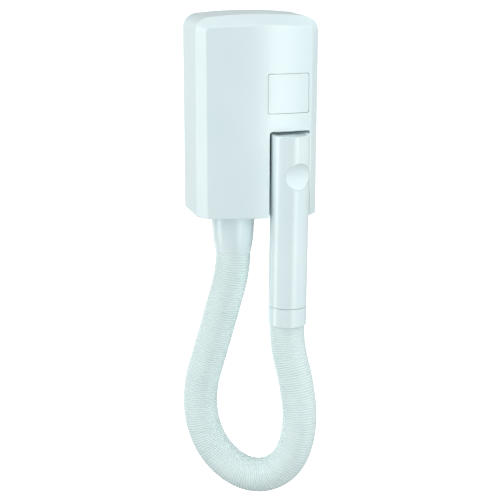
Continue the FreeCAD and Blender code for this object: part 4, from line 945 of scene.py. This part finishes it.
@dataclass
class Fasteners(Assembly):
    """Every screw of the dryer, with its pan head, cross recess and thread.

    Attributes:
        facing: The groups of screws, and the way that each group points.
        head_radius: Radius of the pan head.
        head_height: Height of the pan head.
        shank_radius: Radius over the thread.
        thread_pitch: From one thread to the next.
        recess_width: Width of each arm of the cross recess.
        recess_reach: Length across the cross recess.
        recess_depth: Depth of the cross recess.
        crown: Share of the head's radius that its rounding takes away at the top.
        ridge: Height of the thread over the shank's radius.
        point_slope: How fast the point widens, over its length.
        point_size: Radius of the point's end over the shank's.
        sides: Faces round a screw.
        rows: Rings of faces along a screw.
    """

    finishes = {
        "terminal_screws": BRASS,
        "impeller_nut": BRASS,
        "clip_nut": ZINC_STEEL,
    }
    facing: ClassVar[Mapping[str, Vector]] = {
        "cover_screws": Vector((0, 0, 1)),
        "cradle_screws": Vector((0, 1, 0)),
        "dock_switch_screws": Vector((0, -1, 0)),
        "scroll_screws": Vector((0, 1, 0)),
        "motor_screws": Vector((0, 1, 0)),
        "strap_screws": Vector((0, 1, 0)),
        "board_screws": Vector((0, 1, 0)),
        "clamp_screws": Vector((0, 1, 0)),
    }
    head_radius: float = 2.8 * MM
    head_height: float = 1.8 * MM
    shank_radius: float = 1.42 * MM
    thread_pitch: float = 0.9 * MM
    recess_width: float = 0.7 * MM
    recess_reach: float = 3.0 * MM
    recess_depth: float = 1.1 * MM
    crown: float = 0.42
    ridge: float = 0.22
    point_slope: float = 0.6
    point_size: float = 0.25
    sides: int = 18
    rows: int = 74

    def network(self) -> Network:
        """Build the network that turns a screw and sets one on each point.

        Returns:
            The network, which takes the points under the screws' heads.
        """
        net = Network("pan-head screws")
        head_r = net.take("Head Radius")
        head_h = net.take("Head Height")
        shank_r = net.take("Shank Radius")
        length = net.take("Length")
        pitch = net.take("Thread Pitch")
        arm = net.take("Recess Width")
        reach = net.take("Recess Reach")
        depth = net.take("Recess Depth")
        axis = net.take("Axis", "Vector")
        rows = net.take("Rows", "Int")
        sides = net.take("Sides", "Int")
        top = net.add("ShaderNodeCombineXYZ", {2: net.math("MULTIPLY", head_h, -1.0)})
        tip = net.add("ShaderNodeCombineXYZ", {2: length})
        stem = net.add(
            "GeometryNodeCurvePrimitiveLine", {"Start": top.outputs[0], "End": tip.outputs[0]}
        )
        rings = net.add("GeometryNodeResampleCurve", {"Curve": stem.outputs[0], "Count": rows})
        place = net.add("GeometryNodeInputPosition").outputs[0]
        down = net.add("ShaderNodeSeparateXYZ", {0: place}).outputs[2]
        # pan head: flat on top, rounded towards its edge
        rise = net.math("DIVIDE", net.math("MULTIPLY", down, -1.0), head_h)
        fall = net.math("MULTIPLY", net.math("POWER", rise, 3.0), self.crown)
        head = net.math("MULTIPLY", head_r, net.math("SUBTRACT", 1.0, fall))
        # thread: a ridge in each pitch, fading out at the tip
        phase = net.math("MULTIPLY", net.math("DIVIDE", down, pitch), math.pi)
        ridge = net.math("ABSOLUTE", net.math("SINE", phase))
        thread = net.math("ADD", net.math("MULTIPLY", ridge, self.ridge), 1.0 - self.ridge)
        left = net.math("DIVIDE", net.math("SUBTRACT", length, down), shank_r)
        widening = net.math("MULTIPLY", left, self.point_slope)
        taper = net.math("MINIMUM", net.math("ADD", widening, self.point_size), 1.0)
        shank = net.math("MULTIPLY", net.math("MULTIPLY", thread, taper), shank_r)
        is_head = net.math("LESS_THAN", down, 0.0)
        radius = net.add("ShaderNodeMix", {0: is_head, 2: shank, 3: head}, data_type="FLOAT")
        ring = net.add("GeometryNodeCurvePrimitiveCircle", {"Resolution": sides, "Radius": 1.0})
        blank = net.add(
            "GeometryNodeCurveToMesh",
            {
                "Curve": rings.outputs[0],
                "Profile Curve": ring.outputs[0],
                "Scale": radius.outputs[0],
                "Fill Caps": True,
            },
        )
        twice = net.math("MULTIPLY", depth, 2.0)
        arms = []
        for width, breadth in ((arm, reach), (reach, arm)):
            size = net.add("ShaderNodeCombineXYZ", {0: width, 1: breadth, 2: twice})
            cube = net.add("GeometryNodeMeshCube", {"Size": size.outputs[0]})
            arms.append(cube.outputs[0])
        cut = net.add("GeometryNodeMeshBoolean", {"Mesh 1": blank.outputs[0]}, operation="DIFFERENCE")
        for bar in arms:
            moved = net.add(
                "GeometryNodeTransform", {"Geometry": bar, "Translation": top.outputs[0]}
            )
            net.tree.links.new(moved.outputs[0], cut.inputs["Mesh 2"])
        turned = net.add("FunctionNodeAlignRotationToVector", {"Vector": axis}, axis="Z")
        points = net.add("GeometryNodeMeshToPoints", {"Mesh": net.start.outputs["Geometry"]})
        screws = net.add(
            "GeometryNodeInstanceOnPoints",
            {
                "Points": points.outputs[0],
                "Instance": cut.outputs[0],
                "Rotation": turned.outputs[0],
            },
        )
        net.close(screws.outputs[0])
        return net

    def build(self) -> list[bpy.types.Object]:
        """Set the screws where the frame's plain ones are.

        Returns:
            One piece for each group of screws.
        """
        net = self.network()
        pieces = []
        for name, axis in self.facing.items():
            boxes = solid_boxes(self.frame["nodes"][name])
            seats = []
            for low, high in boxes:
                centre = (low + high) / 2
                whole = abs((high - low).dot(axis))
                seats.append(centre + axis * (self.head_height - whole / 2))
            sizes = {
                "Head Radius": self.head_radius,
                "Head Height": self.head_height,
                "Shank Radius": self.shank_radius,
                "Length": whole - self.head_height,
                "Thread Pitch": self.thread_pitch,
                "Recess Width": self.recess_width,
                "Recess Reach": self.recess_reach,
                "Recess Depth": self.recess_depth,
                "Axis": axis,
                "Rows": self.rows,
                "Sides": self.sides,
            }
            made = f"{name}_threaded"
            piece = net.grow(made, seed_mesh(made, seats), sizes, ZINC_STEEL)
            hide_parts(name)
            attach(piece, "housing")
            pieces.append(piece)
        return pieces


@dataclass
class Heater(Assembly):
    """The heater in its duct, with its coils wound as coils.

    Attributes:
        wire_radius: Radius of the heating wire.
        turn_pitch: From one turn of the coil to the next.
        turn_points: Points in each turn.
        wire_sides: Faces round the wire.
    """

    finishes = {
        "heater_duct": ZINC_STEEL,
        "duct_strap": ZINC_STEEL,
        "duct_gasket": RED_SILICONE,
        "heater_frame": MICA,
        "thermostat": ALUMINIUM,
        "thermal_fuse": ALUMINIUM,
        "outlet_funnel": DARK_NYLON,
    }
    wire_radius: float = 0.22 * MM
    turn_pitch: float = 1.35 * MM
    turn_points: int = 9
    wire_sides: int = 5

    def network(self) -> Network:
        """Build the network that winds a closed coil about each point.

        Returns:
            The network, which takes the centres of the coils.
        """
        net = Network("ring coils")
        ring_r = net.take("Ring Radius")
        coil_r = net.take("Coil Radius")
        wire_r = net.take("Wire Radius")
        turns = net.take("Turns", "Int")
        steps = net.take("Points per Turn", "Int")
        sides = net.take("Sides", "Int")
        count = net.math("MULTIPLY", turns, steps)
        line = net.add("GeometryNodeCurvePrimitiveCircle", {"Resolution": count, "Radius": ring_r})
        index = net.add("GeometryNodeSplineParameter").outputs["Index"]
        about = net.math("MULTIPLY", net.math("DIVIDE", index, count), math.tau)
        along = net.math("MULTIPLY", net.math("DIVIDE", index, steps), math.tau)
        out = net.math("ADD", ring_r, net.math("MULTIPLY", net.math("COSINE", along), coil_r))
        spot = net.add(
            "ShaderNodeCombineXYZ",
            {
                0: net.math("MULTIPLY", out, net.math("COSINE", about)),
                1: net.math("MULTIPLY", out, net.math("SINE", about)),
                2: net.math("MULTIPLY", net.math("SINE", along), coil_r),
            },
        )
        wound = net.add(
            "GeometryNodeSetPosition", {"Geometry": line.outputs[0], "Position": spot.outputs[0]}
        )
        ring = net.add("GeometryNodeCurvePrimitiveCircle", {"Resolution": sides, "Radius": wire_r})
        wire = net.add(
            "GeometryNodeCurveToMesh", {"Curve": wound.outputs[0], "Profile Curve": ring.outputs[0]}
        )
        points = net.add("GeometryNodeMeshToPoints", {"Mesh": net.start.outputs["Geometry"]})
        coils = net.add(
            "GeometryNodeInstanceOnPoints",
            {"Points": points.outputs[0], "Instance": wire.outputs[0]},
        )
        net.close(coils.outputs[0])
        return net

    def build(self) -> list[bpy.types.Object]:
        """Wind the coils where the frame has plain rings.

        Returns:
            The coils, as one piece.
        """
        boxes = solid_boxes(self.frame["nodes"]["heater_coils"])
        low, high = boxes[0]
        coil_radius = (high.z - low.z) / 2 - self.wire_radius
        ring_radius = (high.x - low.x) / 2 - coil_radius - self.wire_radius
        turns = round(math.tau * ring_radius / self.turn_pitch)
        sizes = {
            "Ring Radius": ring_radius,
            "Coil Radius": coil_radius,
            "Wire Radius": self.wire_radius,
            "Turns": turns,
            "Points per Turn": self.turn_points,
            "Sides": self.wire_sides,
        }
        centres = [(a + b) / 2 for a, b in boxes]
        name = "heating_coils_wound"
        piece = self.network().grow(name, seed_mesh(name, centres), sizes, HEATING_WIRE)
        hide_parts("heater_coils")
        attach(piece, "housing")
        return [piece]


@dataclass
class Casing(Assembly):
    """Cover, blanking plate, back plate and the dock for the handset."""

    finishes = {
        "front_cover": WHITE_ABS,
        "socket_blank": WHITE_ABS,
        "handset_cradle": SATIN_ABS,
        "back_plate": GREY_ABS,
        "cradle_clip": SPRING_STEEL,
        "dock_switch": BLACK_NYLON,
        "dock_plunger": WHITE_NYLON,
        "plunger_spring": SPRING_STEEL,
    }


@dataclass
class Blower(Assembly):
    """Fan scroll, fan wheel and motor."""

    finishes = {
        "fan_housing": DARK_NYLON,
        "fan_cover": DARK_NYLON,
        "impeller": BLACK_NYLON,
        "motor_can": ZINC_STEEL,
        "motor_magnets": FERRITE,
        "motor_bushes": BRONZE,
        "motor_endcap": BLACK_NYLON,
        "motor_brushes": CARBON,
        "motor_shaft": GROUND_STEEL,
        "armature_core": LAMINATIONS,
        "armature_windings": COPPER_WIRE,
        "commutator": COPPER_BAR,
    }


@dataclass
class Electrics(Assembly):
    """Mains terminals, cable entry and control board."""

    finishes = {
        "control_board": CIRCUIT_BOARD,
        "relay": BLACK_NYLON,
        "suppression_capacitor": YELLOW_PLASTIC,
        "board_transformer": YELLOW_PLASTIC,
        "terminal_block": WHITE_NYLON,
        "cable_grommet": BLACK_RUBBER,
        "cable_clamp": WHITE_NYLON,
    }


@dataclass
class Handset(Assembly):
    """Tube, outlet and push button of the handset.

    Attributes:
        button_turn: Degrees that the button faces to the right of the front; not used.
        tilt: Degrees that the handset's upper end leans to the front; not used.
    """

    finishes = {
        "handset_tube": WHITE_ABS,
        "outlet_rim": WHITE_ABS,
        "outlet_grille": WHITE_ABS,
        "push_button": SATIN_ABS,
        "switch_carrier": WHITE_NYLON,
        "handset_switch": BLACK_NYLON,
    }
    button_turn: float = 16.5
    tilt: float = 3.9

    def build(self) -> list[bpy.types.Object]:
        """Make the button's springs as one welded, smooth-shaded piece, copied from the frame.

        Returns:
            The springs, as one piece.
        """
        coils = bmesh.new()
        coils.from_mesh(self.frame["nodes"]["button_springs"].data)
        bmesh.ops.remove_doubles(coils, verts=coils.verts, dist=WELD)
        mesh = bpy.data.meshes.new("button_springs_live")
        coils.to_mesh(mesh)
        coils.free()
        mesh.shade_smooth()
        piece = link_object("button_springs_live", mesh)
        dress(piece, SPRING_STEEL)
        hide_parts("button_springs")
        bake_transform(piece)
        return [piece]


# --------------------------------------------------------------------------- main
def report(pieces: Sequence[bpy.types.Object]) -> None:
    """Log each piece with its finish and its count of faces."""
    for piece in pieces:
        finish = next(slot.material for slot in piece.material_slots if slot.material)
        LOG.info("%s: %s, %d faces", piece.name, finish.name, len(piece.data.polygons))


def main() -> None:
    """Build the dryer's looks around its frame, piece by piece."""
    logging.basicConfig(level=logging.INFO, format="%(name)s: %(message)s")
    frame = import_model()
    studio = Studio()
    studio.place_camera()
    hose = Hose(frame)
    report(hose.build() + hose.dress())
    studio.place_lights()
    studio.lay_floor()
    for kind in (Casing, Blower, Electrics, Handset, Heater, Fasteners):
        assembly = kind(frame)
        report(assembly.build() + assembly.dress())


if __name__ == "__main__":
    main()
